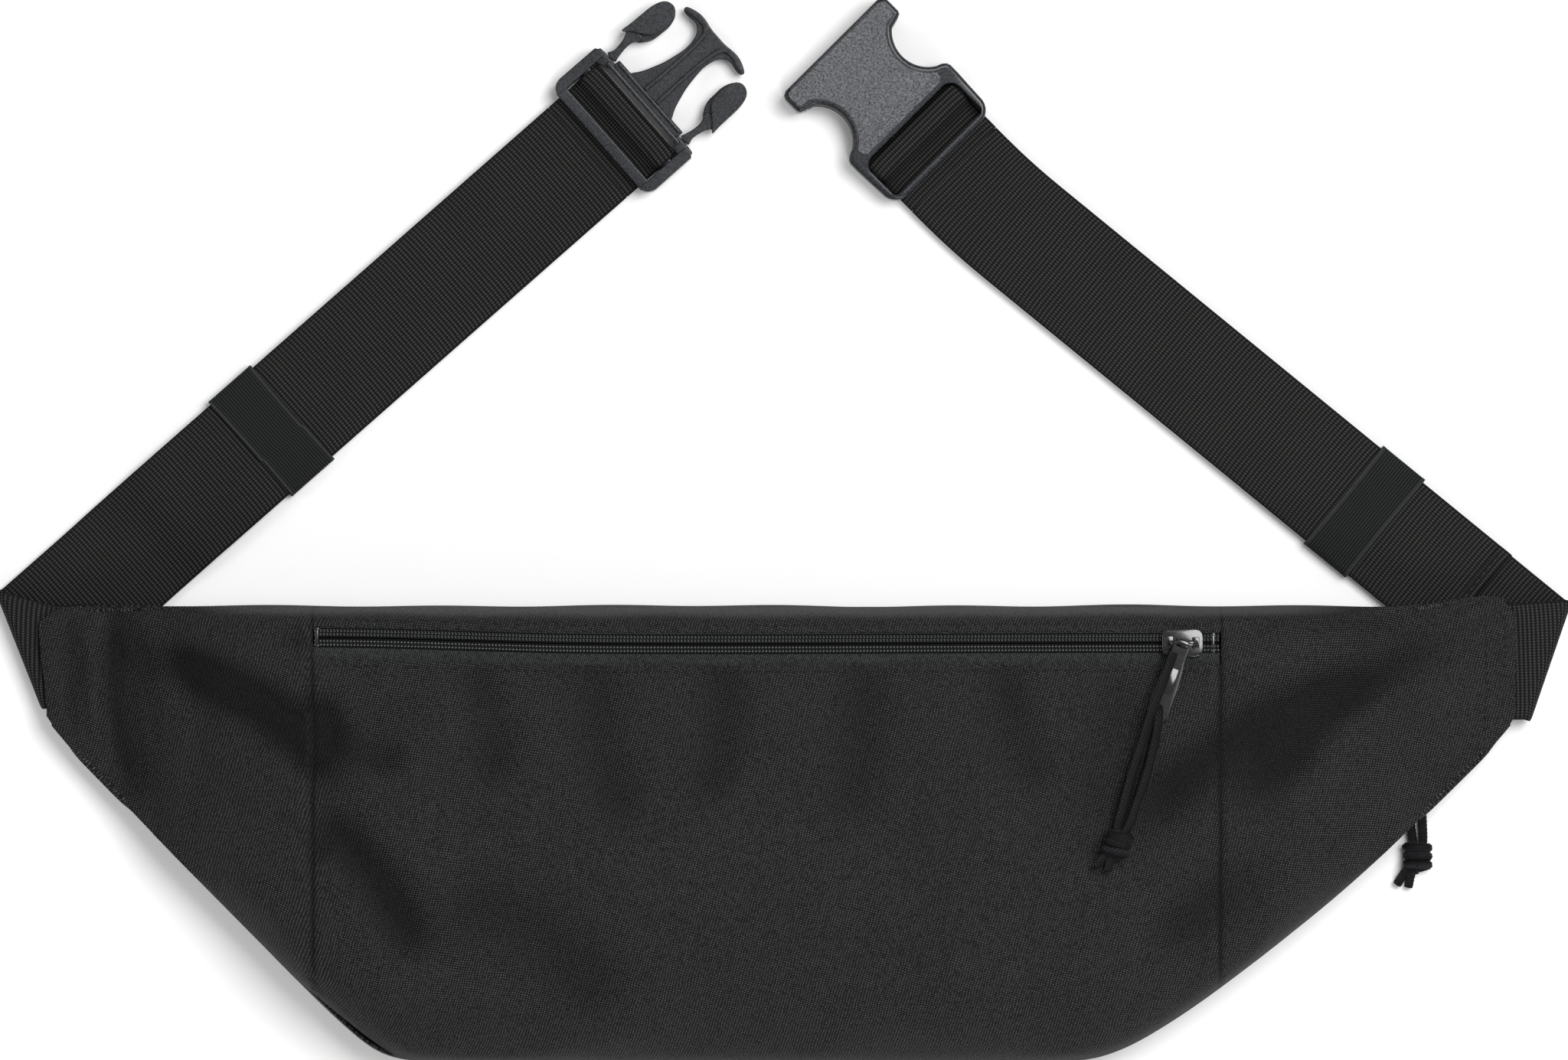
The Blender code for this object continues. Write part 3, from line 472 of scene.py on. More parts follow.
# %% The front as one grid
grid_step = 5.0
seam_sweep = 24.0  # how far the left seam swings along the lower corner
front_xs = even_steps([left_end, left_seam, right_seam, right_end], grid_step)
share_below = 22  # rows below the zip
share_zip, share_above = 2, 3


def left_seam_at(y):
    """The left seam is upright, then swings towards the bottom along the corner."""
    return left_seam + seam_sweep * (1 - step((y + 71.0) / 27.0)) ** 1.2


def front_place(x, v):
    rows = share_below + share_zip + share_above
    row = np.rint(v * rows)
    near = np.where(x < left_seam, step((x - left_end) / (left_seam - left_end)), step((left_seam + 120 - x) / 120))
    straight = x
    for _ in range(12):  # the seam's place depends on the height, and the height on the seam's place
        low, high = lower_edge(x), upper_edge(x)
        zip_low, zip_high = zip_line + zip_wave(x) - below_zip, zip_line + zip_wave(x) + above_zip
        below = np.clip(row / share_below, 0, 1) ** 1.35
        over = np.clip((row - share_below) / share_zip, 0, 1)
        above = np.clip((row - share_below - share_zip) / share_above, 0, 1) ** 0.7
        y = low + (zip_low - low) * below + (zip_high - zip_low) * over + (high - zip_high) * above
        x = 0.5 * x + 0.5 * (straight + (left_seam_at(y) - left_seam) * near)
    y = np.where(row == 0, lower_edge(x), y)
    lean = 2.4 * step((y - 38) / 28) * step((left_end + 12 - x) / 12)
    return x - lean, y, front(x, y)


front_cloth = cloth_grid("front_cloth", front_xs, share_below + share_zip + share_above, front_place)
print(f"front grid {len(front_cloth.data.polygons)} faces")

# %% Which panel each face belongs to: 0 left wing, 1 pocket, 2 strip above the zip, 3 right wing, 4 zip slot
columns = len(front_xs) - 1
left_column = front_xs.index(min(front_xs, key=lambda x: abs(x - left_seam)))
right_column = front_xs.index(min(front_xs, key=lambda x: abs(x - right_seam)))
for number, polygon in enumerate(front_cloth.data.polygons):
    column, row = number % columns, number // columns
    if column < left_column:
        polygon.material_index = 0
    elif column >= right_column:
        polygon.material_index = 3
    elif row < share_below:
        polygon.material_index = 1
    else:
        polygon.material_index = 4 if row < share_below + share_zip else 2
for label in ("left_wing", "pocket", "top_strip", "right_wing", "slot"):
    front_cloth.data.materials.append(bpy.data.materials.new(label))

# %% Letting the cloth settle
def settled(piece, sewn, frames=18, spare=0.012, push=1.2, cap=2.4):
    """A short cloth simulation with some points sewn down, and no point moved further than the cap."""
    before = corners_of(piece)
    group = piece.vertex_groups.new(name="sewn")
    group.add([int(i) for i in np.flatnonzero(sewn)], 1.0, "REPLACE")
    cloth = piece.modifiers.new("cloth", "CLOTH")
    cloth.settings.quality = 6
    cloth.settings.mass = 0.25
    cloth.settings.tension_stiffness = 12
    cloth.settings.compression_stiffness = 12
    cloth.settings.bending_stiffness = 0.6
    cloth.settings.vertex_group_mass = "sewn"
    cloth.settings.shrink_min = -spare
    cloth.settings.use_pressure = True
    cloth.settings.uniform_pressure_force = push
    cloth.settings.effector_weights.gravity = 0
    cloth.collision_settings.use_collision = False
    cloth.point_cache.frame_end = frames
    scene = bpy.context.scene
    for number in range(1, frames + 1):
        scene.frame_set(number)
    graph = bpy.context.evaluated_depsgraph_get()
    flat = np.zeros(len(piece.data.vertices) * 3, np.float32)
    piece.evaluated_get(graph).data.vertices.foreach_get("co", flat)
    after = (flat.reshape(-1, 3).astype(float) - np.array(bag_middle)) / mm
    piece.modifiers.remove(cloth)
    piece.vertex_groups.clear()
    scene.frame_set(1)
    moved = after - before
    length = np.linalg.norm(moved, axis=1)[:, None]
    moved *= np.minimum(1, cap / np.maximum(length, 1e-6))
    moved[:, :2] *= 0.12  # the threads keep their places, so the cloth only rises and sinks
    moved[:, 2] = np.clip(moved[:, 2], -1.4, 1.2)
    print(f"{piece.name} settled, furthest {length.max():.2f} mm, kept to {cap} mm")
    move_corners(piece, before + moved)
    return piece


rows = share_below + share_zip + share_above + 1
column_of = np.tile(np.arange(columns + 1), rows)
row_of = np.repeat(np.arange(rows), columns + 1)
held = (row_of == 0) | (row_of == rows - 1) | (column_of == 0) | (column_of == columns)
held |= (column_of == left_column) | (column_of == right_column)
beside_slot = (column_of >= left_column) & (column_of <= right_column)
held |= (row_of >= share_below) & (row_of <= share_below + share_zip) & beside_slot
settled(front_cloth, held)

# %% [markdown]
# ### Folds, seams and the edges beside the zip
#
# A worn or packed bag has soft folds that run from where it is held: here from both ends, where the
# webbing pulls, down across the wings and into the pocket panel. Each fold is a line with a height
# and a width, pressed into the finely divided sheet. Seams are narrow valleys with a slightly raised
# lip on the side where the allowance is folded under.

# %% Folds pressed into the front
highest_face = 40.4  # millimetres; no fold stands above this
folds = [  # x1, y1, x2, y2, bow to the side, height, half width, all in millimetres
    (-211, 67, -206, 18, -3, -1.5, 4.5), (-202, 68, -193, 10, 4, 1.3, 5.5),
    (-219, 62, -217, 30, 0, 1.0, 3.5), (-226, 66, -225, 36, 0, -0.7, 3.0),
    (-200, 56, -146, 24, 5, -2.4, 8.0), (-190, 66, -150, 50, 2, 1.5, 6.0),
    (-176, 28, -150, -4, 4, 1.6, 8.0), (-160, 8, -146, -6, 0, -1.5, 5.0),
    (-147, 40, -124, 22, -3, -1.9, 6.5), (-146, 5, -118, -32, 3, -1.7, 7.0),
    (-140, 30, -112, -6, 3, 1.1, 8.0), (-170, 60, -152, 62, 0, -0.9, 3.0),
    (-96, 50, -92, 20, 2, -0.9, 7.0), (-60, 50, -52, 8, -2, -0.8, 9.0), (-20, 51, -24, 14, 2, -0.9, 8.0),
    (24, 51, 20, 10, 2, -0.8, 9.0), (70, 50, 78, 18, -2, -0.8, 8.0), (104, 46, 96, 10, 3, -0.7, 9.0),
    (-100, -20, -60, -46, 4, -0.8, 12.0), (10, -20, 60, -44, 6, 0.7, 16.0),
    (222, 68, 172, 34, 4, 1.4, 8.0), (212, 58, 150, 18, -4, -1.9, 8.0), (176, 46, 116, 10, -4, -1.7, 9.0),
    (206, 36, 150, -8, 4, 1.4, 10.0), (160, 4, 122, -30, 3, -1.1, 9.0), (198, 22, 168, -4, 0, -1.2, 7.0),
    (150, 66, 190, 66, 0, -0.6, 3.5), (216, 30, 205, 14, 0, 0.8, 5.0),
]


def fold_relief(x, y):
    """Height of all the folds at each point."""
    height = np.zeros_like(x)
    for x1, y1, x2, y2, bow, size, wide in folds:
        along = np.array([x2 - x1, y2 - y1], float)
        length = np.linalg.norm(along)
        along /= length
        t = ((x - x1) * along[0] + (y - y1) * along[1]) / length
        off = -(x - x1) * along[1] + (y - y1) * along[0] - bow * np.sin(math.pi * np.clip(t, 0, 1))
        fade = step((t + 0.28) / 0.4) * step((1.28 - t) / 0.4)
        height += 2.1 * size * np.exp(-((off / wide) ** 2)) * fade
    return height


def soft_waves(x, y, seed, size, length):
    """A few long, gentle waves, so that no broad surface is perfectly even."""
    chance = np.random.default_rng(seed)
    height = np.zeros_like(x)
    for _ in range(7):
        turn, shift = chance.uniform(0, 2 * math.pi, 2)
        scale = length * chance.uniform(0.7, 1.6)
        height += np.sin((x * math.cos(turn) + y * math.sin(turn)) * 2 * math.pi / scale + shift)
    return height * size / 4


def front_relief(x, y):
    inside = step((y - lower_edge(x)) / 16) * step((upper_edge(x) - y) / 5)
    height = fold_relief(x, y) * inside + soft_waves(x, y, 5, 0.7, 75) * inside
    slot = (x > left_seam) & (x < right_seam)
    beside_zip = np.where(slot, step((np.abs(y - zip_line) - 6.0) / 6.0), 1.0)
    height *= 0.25 + 0.75 * beside_zip
    deepest = 0.3 * (face(x) - back(x, y)) - 0.5
    return np.clip(height, -np.clip(deepest, 0.5, 3.6), 1.4)


alone(front_cloth)
applied(front_cloth, "SUBSURF", levels=2, render_levels=2, boundary_smooth="PRESERVE_CORNERS")
points = corners_of(front_cloth)
points[:, 2] += front_relief(points[:, 0], points[:, 1])
points[:, 2] = np.minimum(points[:, 2], highest_face)
move_corners(front_cloth, points)


def shaded(piece, values):
    """Stores painted shade for the cloth's colour, darker in the valleys of folds and along seams, and painted light, a
    little lighter on the crests of folds; the cloth finish reads it.
    """
    mark = piece.data.attributes.get("shadow") or piece.data.attributes.new("shadow", "FLOAT", "POINT")
    mark.data.foreach_set("value", np.asarray(values, np.float32))


# painted shade in the valleys of the folds, and painted light on their crests
shaded(front_cloth, np.clip(-fold_relief(points[:, 0], points[:, 1]) / 6.0, -0.3, 0.6))
print(f"front divided into {len(front_cloth.data.polygons)} faces")

# %% Cutting the panels apart and giving them thickness
cloth_thick = 1.0 * mm


def panels_of(sheet):
    """Separates a sheet by panel, and returns the panels by label."""
    alone(sheet)
    bpy.ops.object.mode_set(mode="EDIT")
    bpy.ops.mesh.select_all(action="SELECT")
    bpy.ops.mesh.separate(type="MATERIAL")
    bpy.ops.object.mode_set(mode="OBJECT")
    found = {}
    for piece in list(bpy.context.selected_objects):
        label = piece.material_slots[piece.data.polygons[0].material_index].material.name
        found[label] = piece
        for polygon in piece.data.polygons:
            polygon.material_index = 0
    for piece in found.values():
        piece.data.materials.clear()
    return found


def thick(piece, thickness=cloth_thick, offset=-1.0, edge=0.0):
    """Gives a sheet its thickness on one side, with its free edges rounded over."""
    applied(piece, "SOLIDIFY", thickness=thickness, offset=offset, use_even_offset=True)
    if edge:
        applied(piece, "BEVEL", width=edge, segments=2, limit_method="ANGLE", angle_limit=math.radians(50))
    return smoothed(piece, 50)


panels = panels_of(front_cloth)
bpy.data.objects.remove(panels.pop("slot"), do_unlink=True)


def pressed_seams(piece, lines, side=1):
    """Presses a valley beside each seam line, raises a lip next to it, and paints shade along the line."""
    points = corners_of(piece)
    shadow = np.zeros(len(points), np.float32)
    piece.data.attributes["shadow"].data.foreach_get("value", shadow)
    for distance, depth, lip in lines:
        off = distance(points[:, 0], points[:, 1])
        # painted shade: a thin dark line of colour along the seam
        shadow = np.maximum(shadow, np.exp(-((off / 0.7) ** 2)) * min(0.65, depth * 1.6))
        points[:, 2] -= depth * np.exp(-((off / 0.75) ** 2))
        points[:, 2] += lip * np.exp(-(((off * side - 3.2) / 1.6) ** 2))
    shaded(piece, shadow)
    move_corners(piece, points)


def from_left_seam(x, y):
    return x - left_seam_at(y)


def from_right_seam(x, y):
    return x - right_seam


pressed_seams(panels["left_wing"], [(from_left_seam, 0.5, 0.0)])
pressed_seams(panels["left_wing"], [(from_left_seam, 0.0, 0.35)], side=-1)
pressed_seams(panels["pocket"], [(from_left_seam, 0.5, 0.0), (from_right_seam, 0.5, 0.0)])
pressed_seams(panels["pocket"], [(from_right_seam, 0.0, 0.3)], side=-1)
pressed_seams(panels["top_strip"], [(from_left_seam, 0.1, 0.0), (from_right_seam, 0.1, 0.0)])
pressed_seams(panels["right_wing"], [(from_right_seam, 0.5, 0.0)])
for label, piece in panels.items():
    thick(piece)
finished(panels["left_wing"], "left_wing_cloth", "bag_cloth", "bag", ["left_wing_panel"])
finished(panels["pocket"], "pocket_cloth", "bag_cloth", "bag", ["front_pocket_panel"])
finished(panels["top_strip"], "top_strip_cloth", "bag_cloth", "bag", ["front_top_strip"])
finished(panels["right_wing"], "right_wing_cloth", "bag_cloth", "bag", ["right_wing_panel"])

# %% [markdown]
# ### Gussets and back
#
# The gusset is one long strip between the front seam and the back seam. It stands on its edge, so it
# buckles a little as it turns the corners. The back is a flat panel with the second zip across it,
# and it hangs clear of the table except where the bag rests.

# %% Gussets
def gusset_height(x, edge):
    return np.maximum(seam(x) - 0.2, back(x, edge(x)) + 1.4)


def gusset(name, edge, outward, seed):
    xs = even_steps([left_end + 1.5, left_seam, right_seam, right_end - 1.5], 3.0)

    def place(x, v):
        low, high = back(x, edge(x)) + 0.4, gusset_height(x, edge)
        tall = np.clip((high - low) / 12, 0, 1)
        buckle = soft_waves(x, v * 12, seed, 0.35, 34) * np.sin(math.pi * v)
        swell = (0.9 * np.sin(math.pi * v) * tall + buckle * tall) * outward
        inset = -0.5 * outward
        return x, edge(x) + inset + swell, low + (high - low) * v

    piece = cloth_grid(name, xs, 10, place)
    applied(piece, "SUBSURF", levels=1, render_levels=1, boundary_smooth="PRESERVE_CORNERS")
    return thick(piece, 0.9 * mm, offset=1.0 if outward > 0 else -1.0)


finished(gusset("top", upper_edge, 1, 11), "top_gusset_cloth", "bag_cloth", "bag", ["top_gusset"])
finished(gusset("bottom", lower_edge, -1, 12), "bottom_gusset_cloth", "bag_cloth", "bag", ["bottom_gusset"])

# %% Back panels and the pocket divider
rear_zip_line = 58.0


def back_sheet(name, low, high, rows, seed):
    xs = even_steps([left_end, left_seam, right_seam, right_end], 6.0)

    def place(x, v):
        y = low(x) + (high(x) - low(x)) * v
        edge = step((y - lower_edge(x)) / 14) * step((upper_edge(x) - y) / 10)
        near_zip = step((np.abs(y - rear_zip_line) - 5) / 9)
        free = step(back(x, y) / 5)
        sag = (soft_waves(x, y, seed, 0.5, 60) - 0.2) * edge * free * near_zip
        return x, y, back(x, y) + np.clip(sag, -0.5, 0.9)

    piece = cloth_grid(name, xs, rows, place)
    applied(piece, "SUBSURF", levels=1, render_levels=1, boundary_smooth="PRESERVE_CORNERS")
    return thick(piece, cloth_thick, offset=1.0)


back_low = back_sheet("back", lower_edge, lambda x: rear_zip_line - rear_gap + 0 * x, 18, 21)
back_high = back_sheet("strip", lambda x: rear_zip_line + rear_gap + 0 * x, upper_edge, 3, 22)
finished(back_low, "back_cloth", "bag_cloth", "bag", ["back_panel"])
finished(back_high, "back_strip_cloth", "bag_cloth", "bag", ["back_top_strip"])


def divider_place(x, v):
    low, high = lower_edge(x) + 9, np.full_like(x, top_line - 9)
    y = low + (high - low) * v
    return x, y, 25.6 + soft_waves(x, y, 31, 0.4, 70)


divider = cloth_grid("divider", even_steps([left_seam + 2, right_seam - 2], 9.0), 12, divider_place)
finished(thick(divider, 0.8 * mm), "pocket_divider_cloth", "lining", "bag", ["pocket_divider"])

# %% [markdown]
# ## Zips
#
# Both zips are of the hidden kind: the coil is sewn to the back of the tape, so what shows is the
# tape itself. It meets in a thin dark line, with two rows of chain stitching on each side over the
# coil, then a finely ribbed flat band that disappears under the folded edge of the cloth. The
# chain stitches are real relief, and each crest is marked so that its finish paints it much
# lighter, a painted highlight, with painted shade between the stitches.

# %% Pushing a surface out along its normals
def crests_of(piece):
    values = np.zeros(len(piece.data.vertices), np.float32)
    piece.data.attributes["crest"].data.foreach_get("value", values)
    return values


def pushed(piece, heights):
    """Moves every vertex along its own normal, by a height in metres."""
    count = len(piece.data.vertices)
    points, normals = np.zeros(count * 3, np.float32), np.zeros(count * 3, np.float32)
    piece.data.vertices.foreach_get("co", points)
    piece.data.vertex_normals.foreach_get("vector", normals)
    moved = points.reshape(-1, 3) + normals.reshape(-1, 3) * np.asarray(heights).reshape(-1, 1)
    piece.data.vertices.foreach_set("co", moved.astype(np.float32).ravel())
    piece.data.update()


def woven_grid(name, us, vs, place, crest):
    """A grid primitive laid on place(u, v) in metres, with its pattern map and crests."""
    bpy.ops.object.select_all(action="DESELECT")
    bpy.ops.mesh.primitive_grid_add(x_subdivisions=len(us) - 1, y_subdivisions=len(vs) - 1, size=2)
    piece = bpy.context.object
    piece.name = name
    u, v = np.meshgrid(np.array(us, float), np.array(vs, float))
    points = np.stack(np.broadcast_arrays(*place(u, v)), axis=-1)
    piece.data.vertices.foreach_set("co", points.reshape(-1, 3).astype(np.float32).ravel())
    piece.data.update()
    pattern(piece, u.ravel(), v.ravel())
    marked(piece, crest(u, v))
    return piece


# %% One half of a zip: the band over the coil, and the flat tape beside it
chain_pitch = 1.06 * mm
band_reach, band_rise = 3.3 * mm, 0.26 * mm


def chain(u, v, side):
    """Two rows of chain stitches along the band, each row half a stitch out of step."""
    total = np.zeros_like(u)
    for row, shift in ((1.05 * mm, 0.0), (2.2 * mm, 0.5)):
        near = np.exp(-(((v * side - row) / (0.36 * mm)) ** 2))
        beat = (0.5 + 0.5 * np.cos(2 * math.pi * (u / chain_pitch + shift + v * side * 0.35 / mm))) ** 1.4
        total = np.maximum(total, near * beat)
    return total


def zip_half(prefix, side, label, ends, middle, level, face_up, samples=5):
    """The band and tape on one side of a zip; face_up is 1 on the front and -1 on the back."""
    us = np.arange(ends[0], ends[1], chain_pitch / samples)
    outer = (9.0 if label == "lower" else 4.9) * mm
    vs = np.linspace(0.1 * mm, band_reach, 17) * side

    def band_place(u, v):
        dome = np.maximum(0, 1 - ((np.abs(v) - 1.7 * mm) / (1.7 * mm)) ** 8)
        return u, middle(u) + v, level + face_up * (band_rise * dome + 0.12 * mm)

    band = woven_grid("band", us, vs, band_place, lambda u, v: chain(u, v, side))
    applied(band, "SOLIDIFY", thickness=0.8 * mm, offset=-1.0 if side * face_up > 0 else 1.0)
    heights = crests_of(band)
    points = np.zeros(len(band.data.vertices) * 3, np.float32)
    band.data.vertices.foreach_get("co", points)
    points = points.reshape(-1, 3)
    points[:, 2] += face_up * heights * 0.32 * mm
    band.data.vertices.foreach_set("co", points.ravel())
    us = np.arange(ends[0] - 1.5 * mm, ends[1] + 1.5 * mm, 2.0 * mm)
    vs = np.linspace(band_reach - 0.5 * mm, outer, 9) * side

    def tape_place(u, v):
        down = step((np.abs(v) - band_reach) / (2.6 * mm))
        return u, middle(u) + v, level + face_up * 0.42 * mm * (1 - down) - face_up * 0.12 * mm

    tape = woven_grid("tape", us, vs, tape_place, lambda u, v: np.zeros_like(u))
    applied(tape, "SOLIDIFY", thickness=0.5 * mm, offset=-1.0 if side * face_up > 0 else 1.0)
    for piece in (band, tape):
        outward(piece)
        smoothed(piece, 60)
    finished(band, f"{prefix}_zip_band_{label}", "zip_coil", "bag", [f"{prefix}_zip_coil_{label}"])
    finished(tape, f"{prefix}_tape_{label}", "zip_tape", "bag", [f"{prefix}_zip_tape_{label}"])


def front_zip_middle(u):
    return (zip_line + zip_wave(u / mm)) * mm + bag_middle.y


def rear_zip_middle(u):
    return rear_zip_line * mm + bag_middle.y + 0 * u


zip_half("front", -1, "lower", (-147.6 * mm, 136.9 * mm), front_zip_middle, 37.05 * mm, 1)
zip_half("front", 1, "upper", (-147.6 * mm, 136.9 * mm), front_zip_middle, 37.05 * mm, 1)
zip_half("rear", 1, "lower", (-199.0 * mm, 213.0 * mm), rear_zip_middle, 8.0 * mm, -1, 4)
zip_half("rear", -1, "upper", (-199.0 * mm, 213.0 * mm), rear_zip_middle, 8.0 * mm, -1, 4)

# %% [markdown]
# ### Stops
#
# A small black staple closes each end of a zip, clenched over both tapes. It is a bevelled bar with
# its two legs pressed down beside the coil.

# %% Stops
def stop(name, x, middle, level, face_up):
    low, high = sorted((level / mm - face_up * 0.5, level / mm + face_up * 0.72))
    bar_over = bar("over", (x - 0.5, middle - 2.5, low), (x + 0.5, middle + 2.5, high), 0.24, 3)
    leg_low, leg_high = sorted((level / mm - face_up * 0.6, level / mm + face_up * 0.5))
    legs = []
    for leg_at in (middle - 2.6, middle + 2.6):
        legs.append(bar("leg", (x - 0.62, leg_at - 0.45, leg_low), (x + 0.62, leg_at + 0.45, leg_high), 0.2, 2))
    piece = joined([bar_over, *legs])
    return finished(smoothed(piece, 40), name, "zip_metal", "bag", [name.replace("staple", "zip_stop")])


# %% [markdown]
# ### Slider and pull tab
#
# The slider is a die-cast part with two plates joined by a post, and a bridge that the pull tab
# hangs on. Its edges are rounded by the casting and the enamel over it, so every edge gets a bevel:
# those narrow bevels are what draw the bright lines. Plates start as a filled circle whose points are
# moved to an outline, which is then extruded and bevelled.

# %% Plates from an outline
def mirrored_outline(half):
    """A closed outline from the half that lies above the X axis."""
    return [*half, *[(x, -y) for x, y in reversed(half) if abs(y) > 1e-6]]


def arc_points(centre, radius, start, end, count):
    turns = np.radians(np.linspace(start, end, count))
    return [(centre[0] + radius * math.cos(t), centre[1] + radius * math.sin(t)) for t in turns]


def plate(name, outline, low, high, edge=0.0, segments=3, sharper=35):
    """A closed plate between two heights in millimetres, with rounded edges."""
    bpy.ops.object.select_all(action="DESELECT")
    bpy.ops.mesh.primitive_circle_add(vertices=len(outline), radius=mm, fill_type="NGON")
    piece = bpy.context.object
    piece.name = name
    for vertex, (x, y) in zip(piece.data.vertices, outline):
        vertex.co = (x * mm, y * mm, low * mm)
    bpy.ops.object.mode_set(mode="EDIT")
    bpy.ops.mesh.select_all(action="SELECT")
    bpy.ops.mesh.extrude_region_move(TRANSFORM_OT_translate={"value": (0, 0, (high - low) * mm)})
    bpy.ops.mesh.select_all(action="SELECT")
    bpy.ops.mesh.normals_make_consistent(inside=False)
    bpy.ops.object.mode_set(mode="OBJECT")
    if edge:
        applied(piece, "BEVEL", width=edge * mm, segments=segments, limit_method="ANGLE",
                angle_limit=math.radians(sharper), harden_normals=False)
    return smoothed(piece, 40)


def bar(name, near, far, edge, segments=3):
    """A straight bar between two corners in millimetres, with rounded edges."""
    outline = [(near[0], near[1]), (far[0], near[1]), (far[0], far[1]), (near[0], far[1])]
    return plate(name, outline, near[2], far[2], edge, segments)


def rod(name, start, end, radius, sides=20, edge=0.0):
    """A round rod between two points in millimetres."""
    start, end = Vector(start) * mm, Vector(end) * mm
    bpy.ops.object.select_all(action="DESELECT")
    bpy.ops.mesh.primitive_cylinder_add(vertices=sides, radius=radius * mm, depth=(end - start).length)
    piece = bpy.context.object
    piece.name = name
    turn = (end - start).to_track_quat("Z", "Y").to_matrix().to_4x4()
    placed(piece, Matrix.Translation((start + end) / 2) @ turn)
    if edge:
        applied(piece, "BEVEL", width=edge * mm, segments=2, limit_method="ANGLE", angle_limit=math.radians(50))
    return smoothed(piece, 50)


def cut(piece, tool):
    """Takes one closed piece out of another."""
    applied(piece, "BOOLEAN", operation="DIFFERENCE", object=tool, solver="EXACT")
    bpy.data.objects.remove(tool, do_unlink=True)
    return piece


def bent_bar(name, route, half_width, half_height, corners=8):
    """A flat bar swept along a route in millimetres that lies in an upright plane."""
    line = [Vector(p) for p in route]
    turns = [2 * math.pi * (k + 0.5) / corners for k in range(corners)]
    section = [(half_width * math.cos(t) * 1.08, half_height * math.sin(t) * 1.08) for t in turns]
    bpy.ops.object.select_all(action="DESELECT")
    bpy.ops.mesh.primitive_circle_add(vertices=corners, radius=mm, fill_type="NGON")
    piece = bpy.context.object
    piece.name = name
    sideways = (line[-1] - line[0]).cross(Vector((0, 0, 1))).normalized()
    if sideways.length < 0.5:
        sideways = Vector((0, 1, 0))

    def ring(i):
        ahead = (line[min(i + 1, len(line) - 1)] - line[max(i - 1, 0)]).normalized()
        up = sideways.cross(ahead).normalized()
        return [(line[i] + sideways * a + up * b) * mm for a, b in section]

    for vertex, place in zip(piece.data.vertices, ring(0)):
        vertex.co = place
    for i in range(1, len(line)):
        bpy.ops.object.mode_set(mode="EDIT")
        bpy.ops.mesh.extrude_region_move(TRANSFORM_OT_translate={"value": (0, 0, 0)})
        bpy.ops.object.mode_set(mode="OBJECT")
        top = [v for v in piece.data.vertices if v.select]
        for vertex, place in zip(top, ring(i)):
            vertex.co = place
    return smoothed(outward(piece), 45)


# %% The slider, made at the origin with X along the zip and its face at z = 0
def slider(name):
    half_long, half_wide = 6.5, 4.4
    outline = mirrored_outline(
        [(-half_long, 2.6), (-half_long + 0.5, 3.5), (-half_long + 1.6, 3.9), (2.0, 4.3), (4.0, half_wide),
         (5.4, 4.0), (6.2, 3.0), (half_long, 1.6)]
    )
    pieces = [plate("top", outline, 0.75, 1.9, 0.34, 4), plate("bottom", outline, -3.2, -2.25, 0.3, 3)]
    pieces.append(bar("post", (2.6, -0.45, -2.6), (5.4, 0.45, 1.1), 0.15, 2))
    for side in (-1, 1):  # the flanges that hold the two tapes together
        rail = [(-half_long + 1.4, side * 3.1), (half_long - 2.0, side * 3.6), (half_long - 2.2, side * 4.15),
                (-half_long + 1.6, side * 3.75)]
        pieces.append(plate("flange", rail, 0.45, 1.2, 0.15, 2))
    bridge = [(-4.3, 0, 1.3), (-4.1, 0, 2.9), (-3.3, 0, 3.85), (-1.8, 0, 4.0), (0, 0, 4.0), (1.8, 0, 4.0),
              (3.3, 0, 3.85), (4.1, 0, 2.9), (4.3, 0, 1.3)]
    smooth_bridge = [list(p) for p in smooth_route([Vector(p) for p in bridge], 3)]
    pieces.append(bent_bar("bridge", smooth_bridge, 0.85, 0.62))
    pieces.append(bar("pad", (-5.7, -2.2, 1.7), (-2.9, 2.2, 2.25), 0.3, 3))
    pieces.append(bar("pad", (2.9, -1.8, 1.7), (5.2, 1.8, 2.2), 0.3, 3))
    piece = joined(pieces)
    piece.name = name
    return smoothed(piece, 40)


front_ends = {"left": -146.8, "right": 134.8}
rear_ends = {"left": -188.8, "right": 206.4}
for end in ("left", "right"):
    x = front_ends[end]
    stop(f"front_staple_{end}", x, float(front_zip_middle(x * mm)) / mm, 37.05 * mm, 1)
    stop(f"rear_staple_{end}", rear_ends[end], float(rear_zip_middle(0)) / mm, 8.0 * mm, -1)

slider_at = {
    "front": Matrix.Translation(joint["front_pull_flip"]["pos_m"]) @ Matrix.Translation((0, 0, -3.85 * mm)),
    "rear": Matrix.Translation(joint["rear_pull_flip"]["pos_m"]) @ Matrix.Rotation(math.pi, 4, "X")
    @ Matrix.Translation((0, 0, -3.85 * mm)),
}
for prefix in ("front", "rear"):
    made = placed(slider(f"{prefix}_slider_body"), slider_at[prefix])
    finished(made, f"{prefix}_slider_body", "zip_metal", f"{prefix}_slider", [f"{prefix}_zip_slider"])

